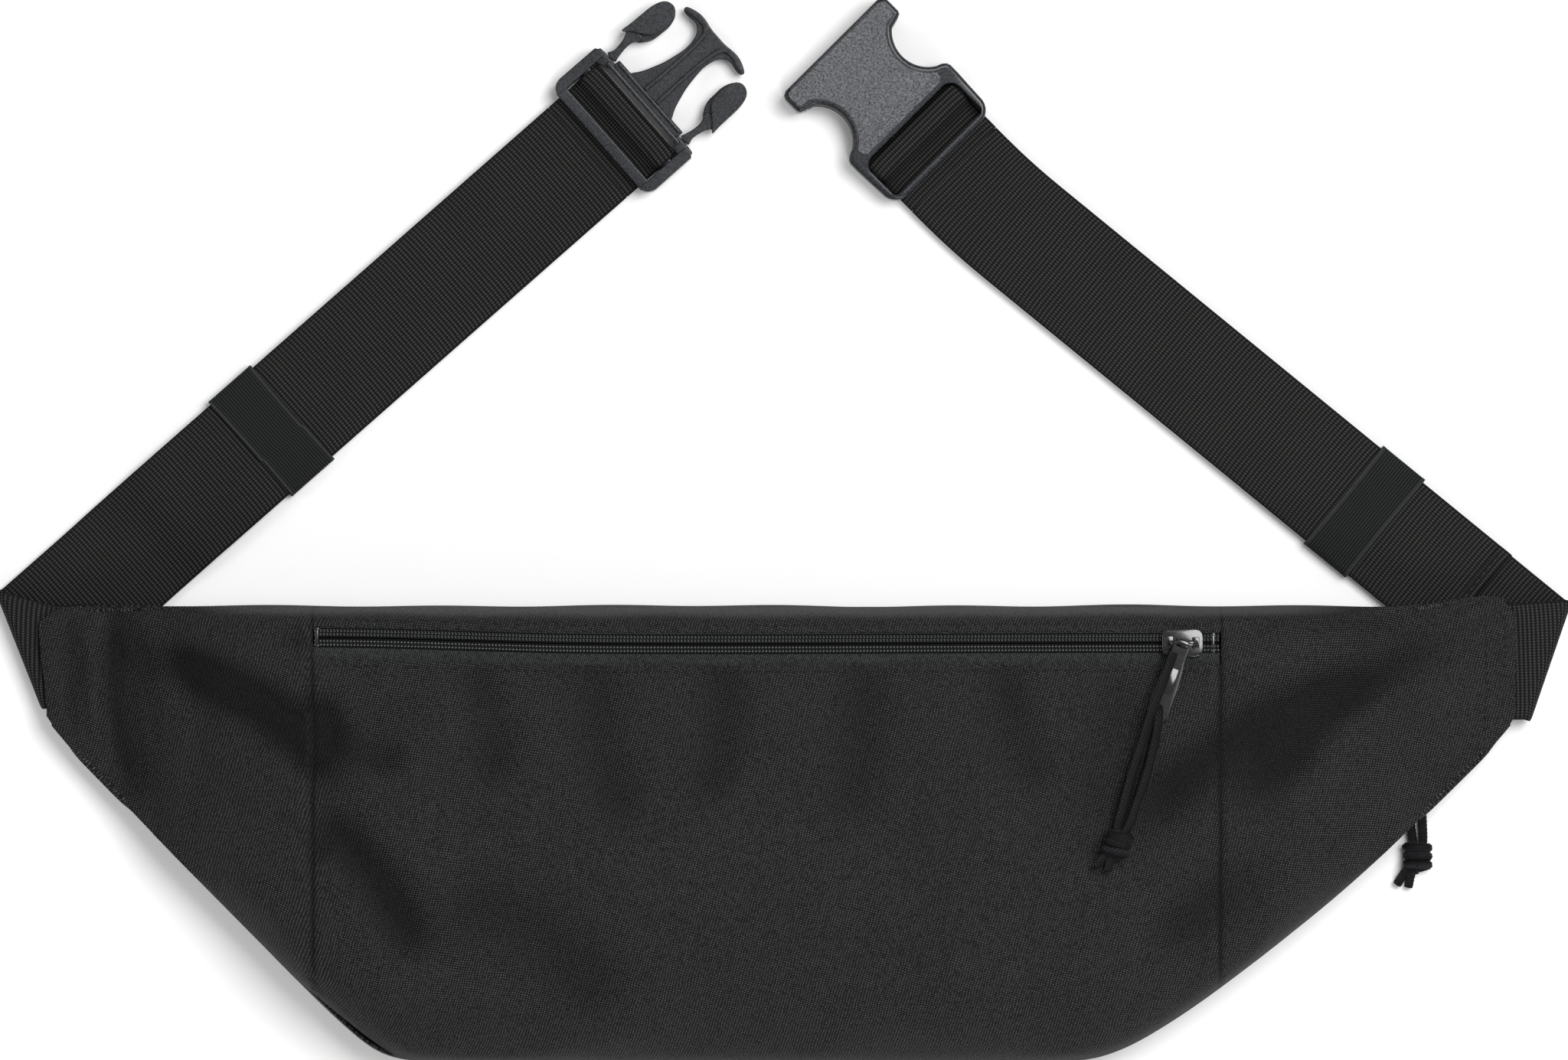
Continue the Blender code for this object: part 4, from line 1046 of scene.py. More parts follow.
# %% The pull tab: an eye round the bridge, a waisted blade and a hole for the cord
def pull_tab(name):
    end = -23.0
    outline = [(2.3, 1.2), (-2.3, 1.2), (-2.7, -1.5), (-2.6, -5.0), (-3.1, -9.0), (-3.5, -14.0)]
    outline += arc_points((0, end), 3.5, 180, 360, 15)
    outline += [(3.5, -14.0), (3.1, -9.0), (2.6, -5.0), (2.7, -1.5)]
    blade = plate("blade", outline, -0.72, 0.72, 0.3, 4)
    eye = plate("eye", arc_points((0, 0), 1.75, 0, 342, 20), -1.9, 1.9, 0.35, 3)
    placed(eye, Matrix.Rotation(math.pi / 2, 4, "Y"))
    bore = rod("bore", (-6, 0, 0), (6, 0, 0), 1.0)
    joined_tab = blade
    applied(joined_tab, "BOOLEAN", operation="UNION", object=eye, solver="EXACT")
    bpy.data.objects.remove(eye, do_unlink=True)
    cut(joined_tab, bore)
    cut(joined_tab, rod("hole", (0, end, -4), (0, end, 4), 1.75, 28))
    grip = plate("grip", [(-1.7, -8.5), (1.7, -8.5), (2.1, -17.0), (-2.1, -17.0)], 0.6, 0.92, 0.14, 2)
    piece = joined([joined_tab, grip])
    piece.name = name
    return smoothed(piece, 35)


tab_at = {
    "front": Matrix.Translation(joint["front_pull_flip"]["pos_m"]) @ Matrix.Rotation(math.radians(-20), 4, "Z"),
    "rear": Matrix.Translation(joint["rear_pull_flip"]["pos_m"]) @ Matrix.Rotation(math.pi, 4, "X")
    @ Matrix.Rotation(math.pi + math.radians(-3), 4, "Z"),
}
for prefix in ("front", "rear"):
    made = placed(pull_tab(f"{prefix}_tab"), tab_at[prefix])
    finished(made, f"{prefix}_tab", "zip_metal", f"{prefix}_pull", [f"{prefix}_pull_tab"])

# %% [markdown]
# ## Webbing
#
# The belt is 38 mm nylon webbing, a heavy ribbed weave. Its ribs run across it, 1.36 mm apart,
# and close off in a smooth selvedge at both edges. Each
# length of webbing is a grid with four rows of vertices to each rib. Solidify gives it its thickness
# and the crests of the ribs are then pushed out on both faces, so that the ribs catch the light as
# on the real thing, from every side. Its finish also paints the crests lighter and the grooves
# darker: painted highlight and painted shade.

# %% Ribbed webbing
webbing_thick = 1.4 * mm
rib_pitch = 1.36 * mm
low_layer, high_layer, wing_layer = 1.9 * mm, 3.6 * mm, 9.1 * mm
across_marks = np.array([-19, -18.8, -18.4, -17.8, -17.0, -15.5, *np.arange(-14, 15, 2), 15.5, 17.0, 17.8, 18.4,
                         18.8, 19]) * mm


def rib_crest(u, v):
    """Crest of each rib, bending a little and fading out at the selvedges."""
    beside = np.clip(np.abs(v) / (19 * mm), 0, 1)
    phase = u / rib_pitch + 0.35 * beside**7
    rib = 0.5 + 0.5 * np.cos(2 * math.pi * phase)
    return rib**1.3 * (1 - step((beside - 0.955) / 0.035))


def webbing_piece(name, start, end, place):
    """Webbing whose material runs from start to end, laid on place(u, v)."""
    count = max(8, round((end - start) / (rib_pitch / 4)))
    us = start + (end - start) * np.arange(count + 1) / count
    piece = woven_grid(name, us, across_marks, place, rib_crest)
    applied(piece, "SOLIDIFY", thickness=webbing_thick - 0.36 * mm, offset=0.0, use_even_offset=True)
    crest = crests_of(piece)
    uv = np.zeros(len(piece.data.loops) * 2, np.float32)
    piece.data.uv_layers["pattern"].data.foreach_get("uv", uv)
    corner = np.zeros(len(piece.data.loops), int)
    piece.data.loops.foreach_get("vertex_index", corner)
    across = np.zeros(len(piece.data.vertices))
    across[corner] = uv.reshape(-1, 2)[:, 1]
    edge = step((np.abs(across) / mm - 18.0) / 1.0)
    pushed(piece, (crest * 0.2 - edge * 0.16) * mm)
    alone(piece)
    bpy.ops.object.shade_smooth()
    return piece


# %% Laying webbing along the belt
class Side:
    """One side of the belt: where it folds, where it goes, and how it lies."""

    def __init__(self, name, fold, fold_angle, heading, length, turn):
        self.name, self.length, self.turn = name, length, turn
        self.fold = np.array([fold[0] * mm, fold[1] * mm + bag_middle.y])
        self.ahead = np.array([math.cos(heading), math.sin(heading)])
        self.left = np.array([-self.ahead[1], self.ahead[0]])
        self.line = np.array([math.cos(fold_angle), math.sin(fold_angle)])
        self.inward = np.array([self.line[1], -self.line[0]])
        if self.inward.dot(self.ahead) < 0:
            self.inward = -self.inward
        self.lean = self.ahead.dot(self.inward)
        self.bend_start = length - 34 * mm
        self.gather, self.sink = (0.08, -5.0 * mm) if name == "left" else (0.03, -0.5 * mm)

    def middle(self, u):
        """The belt's middle and its direction, at a distance from the fold."""
        marks = np.linspace(self.bend_start, self.length + 1 * mm, 200)
        turned = self.turn * step((marks - self.bend_start) / (34 * mm))
        step_length = marks[1] - marks[0]
        x = self.bend_start + np.concatenate([[0], np.cumsum(np.cos(turned[:-1]) * step_length)])
        y = np.concatenate([[0], np.cumsum(np.sin(turned[:-1]) * step_length)])
        along = np.where(u < self.bend_start, u, np.interp(u, marks, x))
        aside = np.where(u < self.bend_start, 0, np.interp(u, marks, y))
        return along, aside, np.where(u < self.bend_start, 0, np.interp(u, marks, turned))

    def flat(self, u, v):
        """A point of the belt beyond its fold, in the plane of the table."""
        along, aside, turned = self.middle(u)
        along = along - np.sin(turned) * v
        aside = aside + np.cos(turned) * v
        x = self.fold[0] + along * self.ahead[0] + aside * self.left[0]
        y = self.fold[1] + along * self.ahead[1] + aside * self.left[1]
        return x, y

    def folded(self, u, v, height):
        """A point of the webbing that passes through the fold; u is 0 in the middle of the fold."""
        middle_height = (wing_layer + low_layer) / 2
        round_it = (wing_layer - low_layer) / 2
        arc = math.pi * round_it / 2
        far = u * self.lean + v * self.left.dot(self.inward)
        along = u * self.ahead.dot(self.line) + v * self.left.dot(self.line)
        drift = arc / self.lean * self.ahead.dot(self.line)
        along = along - drift * np.clip(far / arc, -1, 1)
        turned = np.clip(far / round_it, -math.pi / 2, math.pi / 2)
        reach = np.where(np.abs(far) < arc, 0.6 * mm - 1.5 * mm * np.cos(turned), np.abs(far) - arc + 0.6 * mm)
        inside = step((-far - arc * 0.1) / (22 * mm))  # gathered a little where it enters the bag's end
        along = along * (1 - self.gather * inside) + self.sink * inside
        x = self.fold[0] + along * self.line[0] + reach * self.inward[0]
        y = self.fold[1] + along * self.line[1] + reach * self.inward[1]
        z = middle_height - round_it * np.sin(turned)
        beyond = u - arc / self.lean
        straight_x, straight_y = self.flat(beyond, v)
        after = step((beyond - 30 * mm) / (20 * mm))
        x, y = x * (1 - after) + straight_x * after, y * (1 - after) + straight_y * after
        z = np.where(far > arc, height(beyond), z)
        return x, y, z


left_side = Side("left", (-241.3, 58.5), math.radians(111.5), math.radians(41.35), 239.0 * mm, 0.0)
right_side = Side("right", (241.8, 54.9), math.radians(71.0), math.radians(140.75), 244.5 * mm, math.radians(-5.9))
tail_start = {"left": 70.0 * mm, "right": 30.5 * mm}


def left_run_height(u):
    return low_layer + (high_layer - low_layer) * step((u - 50 * mm) / (16 * mm))


def right_run_height(u):
    return low_layer + 0 * u


run_height = {"left": left_run_height, "right": right_run_height}
wing_length = {"left": 21.0 * mm, "right": 23.0 * mm}
belts = {}
for side in (left_side, right_side):
    arc = math.pi * (wing_layer - low_layer) / 4 / side.lean
    belts[side.name] = webbing_piece(
        f"{side.name}_belt", -arc - wing_length[side.name], arc + side.length - 0.45 * mm,
        lambda u, v, side=side: side.folded(u, v, run_height[side.name]),
    )
    finished(belts[side.name], f"{side.name}_belt", "webbing", None,
             [f"{side.name}_belt_run", f"{side.name}_belt_wing"])
    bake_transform(belts[side.name])


def tail_place(side, height):
    def place(u, v):
        x, y = side.flat(u, v)
        return x, y, height + 0 * u

    return place


left_tail = webbing_piece("left_tail", tail_start["left"], 237.6 * mm, tail_place(left_side, low_layer))
right_tail = webbing_piece("right_tail", tail_start["right"], 244.05 * mm, tail_place(right_side, high_layer))
finished(left_tail, "left_tail", "webbing", "left_belt", ["left_belt_tail"])

# %% The turned hem at the end of the right tail
def hem_place(u, v):
    """The last centimetre of the tail turned back on itself."""
    x, y = right_side.flat(u, v)
    rise = 1.0 * mm * step((u - tail_start["right"] + 1.0 * mm) / (1.2 * mm))
    return x, y, high_layer + rise


hem = webbing_piece("hem", tail_start["right"] - 1.2 * mm, tail_start["right"] + 3.4 * mm, hem_place)
right_tail = joined([right_tail, hem])
finished(right_tail, "right_tail", "webbing", "right_belt", ["right_belt_tail"])

# %% [markdown]
# ### Webbing round the buckles
#
# At each buckle half the webbing comes up through the frame, goes over the centre bar and returns
# underneath. It is a separate length in the model, because the buckle tilts on the belt here.

# %% Loops through the buckle halves
tilt_height = 2.75 * mm
buckle_turn = {"left": math.radians(41.35), "right": math.radians(140.75 - 5.9)}
buckle_at = {
    side: Matrix.Translation(Vector(joint[f"{side}_buckle_tilt"]["pos_m"]) - Vector((0, 0, tilt_height)))
    @ Matrix.Rotation(buckle_turn[side], 4, "Z")
    for side in ("left", "right")
}
loop_view = [
    (-0.4, high_layer / mm), (4.0, high_layer / mm), (9.0, high_layer / mm), (11.6, 4.6), (13.4, 6.7),
    (15.0, 7.2), (17.6, 7.2), (19.2, 6.6), (19.8, 4.6), (19.3, 2.6), (17.6, 1.9), (14.0, 1.9), (9.0, 1.9),
    (4.0, 1.9), (-0.4, 1.9),
]
loop_line, loop_marks = even_route(smooth_route([Vector((s * mm, 0, z * mm)) for s, z in loop_view], 6), 0.1 * mm)


def loop_place(side):
    def place(u, v):
        s = np.interp(u, loop_marks, loop_line[:, 0])
        z = np.interp(u, loop_marks, loop_line[:, 2])
        matrix = np.array(buckle_at[side])
        x = matrix[0, 0] * s + matrix[0, 1] * v + matrix[0, 3]
        y = matrix[1, 0] * s + matrix[1, 1] * v + matrix[1, 3]
        return x, y, z

    return place


for side, body in (("left", "male_buckle"), ("right", "female_buckle")):
    made = webbing_piece(f"{side}_loop", 0.0, float(loop_marks[-1]), loop_place(side))
    finished(made, f"{side}_loop", "webbing", body, [f"{side}_belt_loop"])

# %% [markdown]
# ### Elastic keepers
#
# A loop of woven elastic on each side holds the loose tail flat against the belt, and slides along
# it. Elastic has fine ribs along its own length, which here go across the belt, and thick rolled
# edges. The left one shows its overlapped join.

# %% Keepers
elastic_pitch = 0.92 * mm
keeper_at = {"left": 104.6 * mm, "right": 74.4 * mm}
keeper_width = {"left": 17.6 * mm, "right": 17.0 * mm}
loop_half, loop_bottom, loop_top = 19.55 * mm, 0.62 * mm, 5.0 * mm


def keeper(side, join_at=None):
    """A closed band of elastic: a rounded rectangle in section, swept along the belt's width."""
    corner = 1.3 * mm
    path = []
    turning_points = (
        (loop_half, loop_top, 0), (-loop_half, loop_top, 90),
        (-loop_half, loop_bottom, 180), (loop_half, loop_bottom, 270),
    )
    for x, z, a in turning_points:
        cx, cz = x - math.copysign(corner, x), z - (corner if z > 2 * mm else -corner)
        path += [(cx + corner * math.cos(math.radians(a + t)), cz + corner * math.sin(math.radians(a + t)))
                 for t in range(0, 91, 15)]
    path.append(path[0])
    line, marks = even_route([Vector((x, 0, z)) for x, z in path], 0.9 * mm)
    width = keeper_width[side]
    us = np.linspace(-width / 2, width / 2, round(width / elastic_pitch * 5) + 1)
    belt = left_side if side == "left" else right_side

    def place(u, v):
        across = np.interp(v, marks, line[:, 0])
        z = np.interp(v, marks, line[:, 2])
        shift = np.zeros_like(u)
        lift = np.zeros_like(u)
        if join_at is not None:
            top = z > 3 * mm
            second = (across < join_at) & top
            shift = np.where(second, 0.45 * mm, 0.0)
            lift = np.where(top & ~second, 0.28 * mm, 0.0)
        waist = 1 - 0.035 * np.cos(across / (21 * mm) * math.pi / 2)
        x, y = belt.flat(keeper_at[side] + u * waist + shift, across)
        return x, y, z + lift

    def crest(u, v):
        rolled = step((np.abs(u) - (width / 2 - 1.1 * mm)) / (0.5 * mm))
        rib = (0.5 + 0.5 * np.cos(2 * math.pi * u / elastic_pitch)) ** 1.2
        return rib * 0.75 * (1 - rolled) + 0.8 * rolled

    piece = woven_grid("keeper", us, marks, place, crest)
    applied(piece, "WELD", merge_threshold=0.01 * mm)
    applied(piece, "SOLIDIFY", thickness=0.8 * mm, offset=0.0)
    pushed(piece, crests_of(piece) * 0.16 * mm)
    return smoothed(outward(piece), 55)


finished(keeper("left", -5.0 * mm), "left_keeper_band", "elastic", "left_elastic", ["left_keeper"])
finished(keeper("right"), "right_keeper_band", "elastic", "right_elastic", ["right_keeper"])

# %% [markdown]
# ## Side-release buckle
#
# The buckle is moulded acetal. The male half is a frame with two rounded rails, a flat tail bar, a
# bar that the webbing goes round, a front bar, a guide blade with two ribs that end in horns, and
# two springy prongs. Each is a plate or bar with its own edge radius, because moulded edges differ:
# the rails are full and glossy, the blade is thin and crisp. They overlap into one body.

# %% Soft outlines and ridges
def softened(outline, steps=4):
    """A closed outline with a smooth curve through its points."""
    count = len(outline)
    points = []
    for i in range(count):
        a, b, c, d = (np.array(outline[(i + k) % count], float) for k in (-1, 0, 1, 2))
        for j in range(steps):
            t = j / steps
            points.append(tuple((2 * b + (c - a) * t + (2 * a - 5 * b + 4 * c - d) * t**2
                                 + (3 * b - a - 3 * c + d) * t**3) / 2))
    return points


def ridge_outline(route, half_widths):
    """The outline of a narrow ridge that follows a route."""
    line = np.array(route, float)
    ahead = np.gradient(line, axis=0)
    ahead /= np.linalg.norm(ahead, axis=1)[:, None]
    aside = np.stack([-ahead[:, 1], ahead[:, 0]], axis=1) * np.array(half_widths)[:, None]
    return [tuple(p) for p in line + aside] + [tuple(p) for p in (line - aside)[::-1]]


def flipped(outline, side):
    return [(x, y * side) for x, y in outline]


# %% Male half
def crisp(piece, degrees=40):
    """Smooth shading that leaves broad faces flat, because they outweigh their bevels."""
    smoothed(piece, degrees)
    return applied(piece, "WEIGHTED_NORMAL", mode="FACE_AREA", weight=60, keep_sharp=True)


def male_body():
    pieces = []
    for side in (-1, 1):
        rail = [(23.6, 19.5), (23.6, 22.2), (22.9, 23.1), *arc_points((8.2, 19.2), 4.0, 90, 172, 7), (4.3, 19.5)]
        pieces.append(plate("rail", flipped(rail, side), 0.0, 8.4, 1.25, 5, 60))
        knuckle = [(20.2, 18.7), (20.6, 22.3), (24.3, 22.3), (24.5, 20.4), (24.5, 15.2), (22.9, 13.6), (21.6, 16.6)]
        pieces.append(plate("knuckle", flipped(knuckle, side), 0.6, 6.3, 0.55, 3))
        route = [(26.2, 2.85), (31, 2.7), (38, 2.6), (44, 2.65), (48.7, 2.95), (52.2, 3.6), (54.0, 5.3), (54.3, 8.2),
                 (53.6, 11.2), (52.9, 13.0)]
        wide = [0.7, 0.68, 0.66, 0.66, 0.7, 0.8, 0.9, 0.95, 0.85, 0.4]
        line = [(p.x, p.y) for p in smooth_route([Vector((*p, 0)) for p in route], 4)]
        widths = np.interp(np.linspace(0, 1, len(line)), np.linspace(0, 1, len(wide)), wide)
        pieces.append(plate("rib", flipped(ridge_outline(line, widths), side), 3.6, 6.3, 0.38, 3, 60))
    edge = [(26.2, 9.9), (29.5, 7.9), (33.0, 6.6), (36.4, 5.5), (40.5, 4.7), (44.5, 4.2), (48.0, 4.6), (50.4, 5.6),
            (51.8, 7.2), (52.2, 8.9), (51.9, 10.8), (51.8, 12.6), (52.3, 13.8), (53.5, 13.9), (54.6, 11.8), (55.3, 9.2), (55.3, 6.6),
            (54.9, 4.4)]
    smooth_edge = [(p.x, p.y) for p in smooth_route([Vector((*p, 0)) for p in edge], 3)]
    half = [(23.0, 13.0), (25.2, 11.2), *smooth_edge, (54.7, 2.6)]
    pieces.append(plate("blade", mirrored_outline(half), 1.9, 4.8, 0.42, 4, 60))
    pieces.append(bar("gutter", (22.4, -15.2, 1.2), (26.3, 15.2, 5.6), 0.4, 3))
    pieces.append(bar("bead", (22.2, -17.2, 5.0), (23.7, 17.2, 7.3), 0.5, 3))
    pieces.append(bar("lip", (24.9, -14.6, 5.0), (26.0, 14.6, 6.3), 0.35, 3))
    pieces.append(bar("tail_bar", (4.1, -20.6, 4.75), (7.9, 20.6, 8.1), 0.5, 4))
    pieces.append(bar("centre_bar", (14.0, -20.6, 3.2), (18.2, 20.6, 6.0), 1.2, 4))
    return crisp(joined(pieces))


male = placed(male_body(), buckle_at["left"])
finished(male, "male_half", "buckle_plastic", "male_buckle", ["male_buckle_body"])


def prong(side):
    """A squeeze prong: a thin stem and a leaf-shaped head in two levels, with a barb."""
    stem = [(24.9, 19.3), (27.5, 18.7), (31.5, 19.4), (34.6, 20.6), (37.0, 18.6), (36.0, 15.4), (32.6, 16.7),
            (29.4, 16.7), (26.4, 16.1), (24.9, 15.9)]
    lower = [(33.6, 20.6), (39, 20.9), (44.5, 20.6), (47.8, 19.9), (49.6, 18.8), (50.2, 17.2), (49.9, 15.4),
             (48.4, 13.8), (45.3, 12.8), (42, 12.8), (38.5, 13.1), (36, 14.3), (34.0, 16.2)]
    upper = [(33.0, 21.7), (36, 21.6), (39, 21.5), (44.5, 21.3), (47.8, 20.6), (49.8, 19.3), (50.6, 17.4), (50.3, 15.7),
             (48.9, 14.3), (45.6, 13.5), (42, 13.6), (39.4, 14.4), (37.2, 16.6), (35.3, 19.3)]
    pieces = [
        plate("stem", flipped(softened(stem), side), 2.3, 6.2, 0.5, 3, 60),
        plate("lower", flipped(softened(lower), side), 0.7, 5.2, 0.6, 3, 60),
        plate("upper", flipped(softened(upper, 5), side), 3.4, 7.8, 0.95, 5, 60),
    ]
    return crisp(joined(pieces))


for side, label in ((1, "upper"), (-1, "lower")):
    made = placed(prong(side), buckle_at["left"])
    finished(made, f"prong_{label}", "buckle_plastic", f"{label}_prong", [f"male_prong_{label}"])

# %% [markdown]
# The female half is hollow: a broad body with a mouth for the prongs, a notch on each side where
# fingers squeeze them, and a window where the webbing goes round its bar. Half of it is drawn and
# mirrored, so that its outline, with the window in it, stays one clean ring of faces. Only the rim
# edges are bevelled, with a wide radius outside and a narrow one round the window. The mouth is cut
# last. Its broad face has a spark-eroded texture and its rim is polished, so they get two finishes;
# the face's finish is also painted much lighter, a painted sheen on the same plastic.

# %% Female half
def female_body():
    notch = arc_points((36.4, 24.8), 11.4, 326, 206, 22)
    half = [(54.7, 0), (54.7, 20.6), (53.9, 22.0), (52.6, 22.6), (47.6, 22.6), (46.6, 22.2), (45.9, 20.6), *notch[1:-1],
            (26.0, 20.6), (25.0, 21.8), (23.8, 22.3), (20.5, 22.3), *arc_points((9.6, 16.2), 5.6, 86, 176, 8), (4.0, 0)]
    window = [(6.2, 0), *arc_points((8.0, 17.6), 1.8, 180, 90, 4), *arc_points((17.2, 16.0), 3.4, 90, 0, 7), (20.6, 0)]
    outline = half + window
    bpy.ops.object.select_all(action="DESELECT")
    bpy.ops.mesh.primitive_circle_add(vertices=len(outline), radius=mm, fill_type="NGON")
    piece = bpy.context.object
    for vertex, (x, y) in zip(piece.data.vertices, outline):
        vertex.co = (x * mm, y * mm, 0)
    applied(piece, "MIRROR", use_axis=(False, True, False), use_clip=True, merge_threshold=0.01 * mm)
    bpy.ops.object.mode_set(mode="EDIT")
    bpy.ops.mesh.select_all(action="SELECT")
    bpy.ops.mesh.extrude_region_move(TRANSFORM_OT_translate={"value": (0, 0, 12.5 * mm)})
    bpy.ops.mesh.select_all(action="SELECT")
    bpy.ops.mesh.remove_doubles(threshold=0.005 * mm)
    bpy.ops.mesh.normals_make_consistent(inside=False)
    bpy.ops.object.mode_set(mode="OBJECT")
    weight = piece.data.attributes.new("bevel_weight_edge", "FLOAT", "EDGE")
    bounds_of = {}
    for polygon in piece.data.polygons:
        for key in polygon.edge_keys:
            bounds_of.setdefault(key, []).append(abs(polygon.normal.z))
    for edge in piece.data.edges:
        flat = bounds_of[edge.key]
        if len(flat) == 2 and max(flat) > 0.9 and min(flat) < 0.1:
            x, y = (sum(piece.data.vertices[v].co[k] for v in edge.vertices) / 2 / mm for k in (0, 1))
            at_window = 5.9 < x < 20.9 and abs(y) < 19.7
            weight.data[edge.index].value = 0.35 if at_window else (0.4 if x > 54.6 else 1.0)
    applied(piece, "BEVEL", width=1.4 * mm, segments=5, limit_method="WEIGHT", use_clamp_overlap=False)
    inner = arc_points((36.4, 24.8), 13.4, 327, 213, 22)
    panel_half = [(53.5, 20.4), (52.6, 21.1), (48.4, 21.1), (47.7, 20.2), *inner, (23.4, 17.2), (22.2, 16.2)]
    panel = plate("panel", mirrored_outline(panel_half), 12.2, 12.56)
    for each in (piece, panel):  # cut into slices, so that the bend follows the slope cleanly
        alone(each)
        bpy.ops.object.mode_set(mode="EDIT")
        for x in np.arange(13.5, 34, 1.25):
            bpy.ops.mesh.select_all(action="SELECT")
            bpy.ops.mesh.bisect(plane_co=(x * mm, 0, 0), plane_no=(1, 0, 0))
        bpy.ops.object.mode_set(mode="OBJECT")
        for vertex in each.data.vertices:  # the tail of the body is thinner than its mouth
            share = float(step((vertex.co.x / mm - 13) / 20))
            vertex.co.z *= 0.76 + 0.24 * share
        # the raised face panel is marked for the lighter finish, a painted sheen
        each.data.attributes.new("face", "FLOAT", "FACE").data.foreach_set(
            "value", [float(each is panel)] * len(each.data.polygons))
    cut(piece, bar("mouth", (25.4, -19.5, 2.3), (60, 19.5, 10.3), 0.4, 2))
    piece = joined([piece, panel, bar("centre_bar", (14.0, -20.4, 3.2), (18.2, 20.4, 6.0), 1.2, 4)])
    return crisp(piece, 34)


female = placed(female_body(), buckle_at["right"])
finished(female, "female_half", "buckle_plastic", "female_buckle", ["female_buckle_body"])
print("faces with the broad texture:", sum(m.value > 0.5 for m in female.data.attributes["face"].data))

# %% [markdown]
# ## Stitching
#
# The topstitching is bonded nylon thread, about 0.6 mm thick, in stitches of just over 3 mm. Each
# stitch dives into the cloth at both ends, so it shows as a small plump grain. One grain is modelled
# and copied along every row, lying on whatever cloth is under it.

# %% One stitch
bpy.ops.object.select_all(action="DESELECT")
bpy.ops.mesh.primitive_uv_sphere_add(segments=8, ring_count=5, radius=1.0, rotation=(0, math.pi / 2, 0))
grain = bpy.context.object
bpy.ops.object.transform_apply(location=True, rotation=True, scale=True)
bpy.ops.object.mode_set(mode="EDIT")
bpy.ops.mesh.select_all(action="SELECT")
bpy.ops.transform.resize(value=(1.12 * mm, 0.3 * mm, 0.27 * mm))
bpy.ops.object.mode_set(mode="OBJECT")
bpy.ops.object.shade_smooth()
print(f"one stitch has {len(grain.data.polygons)} faces")


# %% Rows of stitches
def surface_under(x, y, cloths, level=60 * mm):
    """The height and slope of the topmost cloth under a point."""
    best = None
    for cloth in cloths:
        hit, place, normal, _ = cloth.ray_cast(Vector((x, y, level)), Vector((0, 0, -1)))
        if hit and (best is None or place.z > best[0].z):
            best = (place, normal)
    return best


def stitch_row(name, route, cloths, pitch=3.15 * mm, body="bag", size=1.0, sink=0.05 * mm):
    """Copies of the grain along a route in millimetres from the middle of the bag, or in metres."""
    line, marks = even_route([Vector(p) for p in route], pitch)
    copies = []
    for i in range(len(line) - 1):
        middle = (line[i] + line[i + 1]) / 2
        ahead = Vector(line[i + 1] - line[i]).normalized()
        found = surface_under(middle[0], middle[1], cloths)
        if found is None:
            continue
        place, normal = found
        if normal.z < 0:
            normal = -normal
        aside = normal.cross(ahead).normalized()
        ahead = aside.cross(normal).normalized()
        turn = Matrix((ahead, aside, normal)).transposed().to_4x4()
        copy = grain.copy()
        copy.data = grain.data.copy()
        bpy.context.scene.collection.objects.link(copy)
        copy.data.transform(Matrix.Translation(place - normal * sink) @ turn @ Matrix.Scale(size, 4))
        copies.append(copy)
    piece = joined(copies)
    return finished(piece, name, "thread", body)


def bag_route(points):
    return [on_bag(x, y) for x, y in points]


front_cloths = list(panels.values())
ys = np.linspace(64.0, -62.0, 40)
stitch_row("stitches_left_seam", bag_route([(float(left_seam_at(y)) - 1.9, y) for y in ys]), front_cloths)
stitch_row("stitches_right_seam", bag_route([(right_seam + 1.6, y) for y in np.linspace(66, -46, 30)]), front_cloths)
xs = np.linspace(left_seam + 3, right_seam - 3, 60)
stitch_row("stitches_zip_lower", bag_route([(x, zip_line + zip_wave(x) - below_zip - 2.1) for x in xs]), front_cloths)
stitch_row("stitches_zip_upper", bag_route([(x, zip_line + zip_wave(x) + above_zip + 1.9) for x in xs]), front_cloths)
stitch_row("stitches_right_end", bag_route([(221.9, 70.5), (222.3, 50.0), (221.6, 26.0)]), front_cloths, 2.9 * mm)
stitch_row("stitches_right_edge", bag_route([(227.9, 70.0), (228.2, 52.0), (227.4, 37.0)]), front_cloths, 2.9 * mm)
stitch_row("stitches_left_end", bag_route([(-226.6, 68.0), (-225.0, 52.0), (-223.4, 27.0)]), front_cloths, 2.9 * mm)
across = [right_side.flat(np.array(tail_start["right"] + 2.3 * mm), np.array(v * mm)) for v in np.linspace(-17, 17, 12)]
stitch_row("stitches_hem", [Vector((float(x), float(y), 0)) for x, y in across], [right_tail], 2.9 * mm, "right_belt")
bpy.data.objects.remove(grain, do_unlink=True)

# %% [markdown]
# ## Finishes
#
# Every finish is made from nodes. Woven finishes read the pattern map, which is in metres along the
# piece's own surface, so the threads keep their size and turn with the cloth.

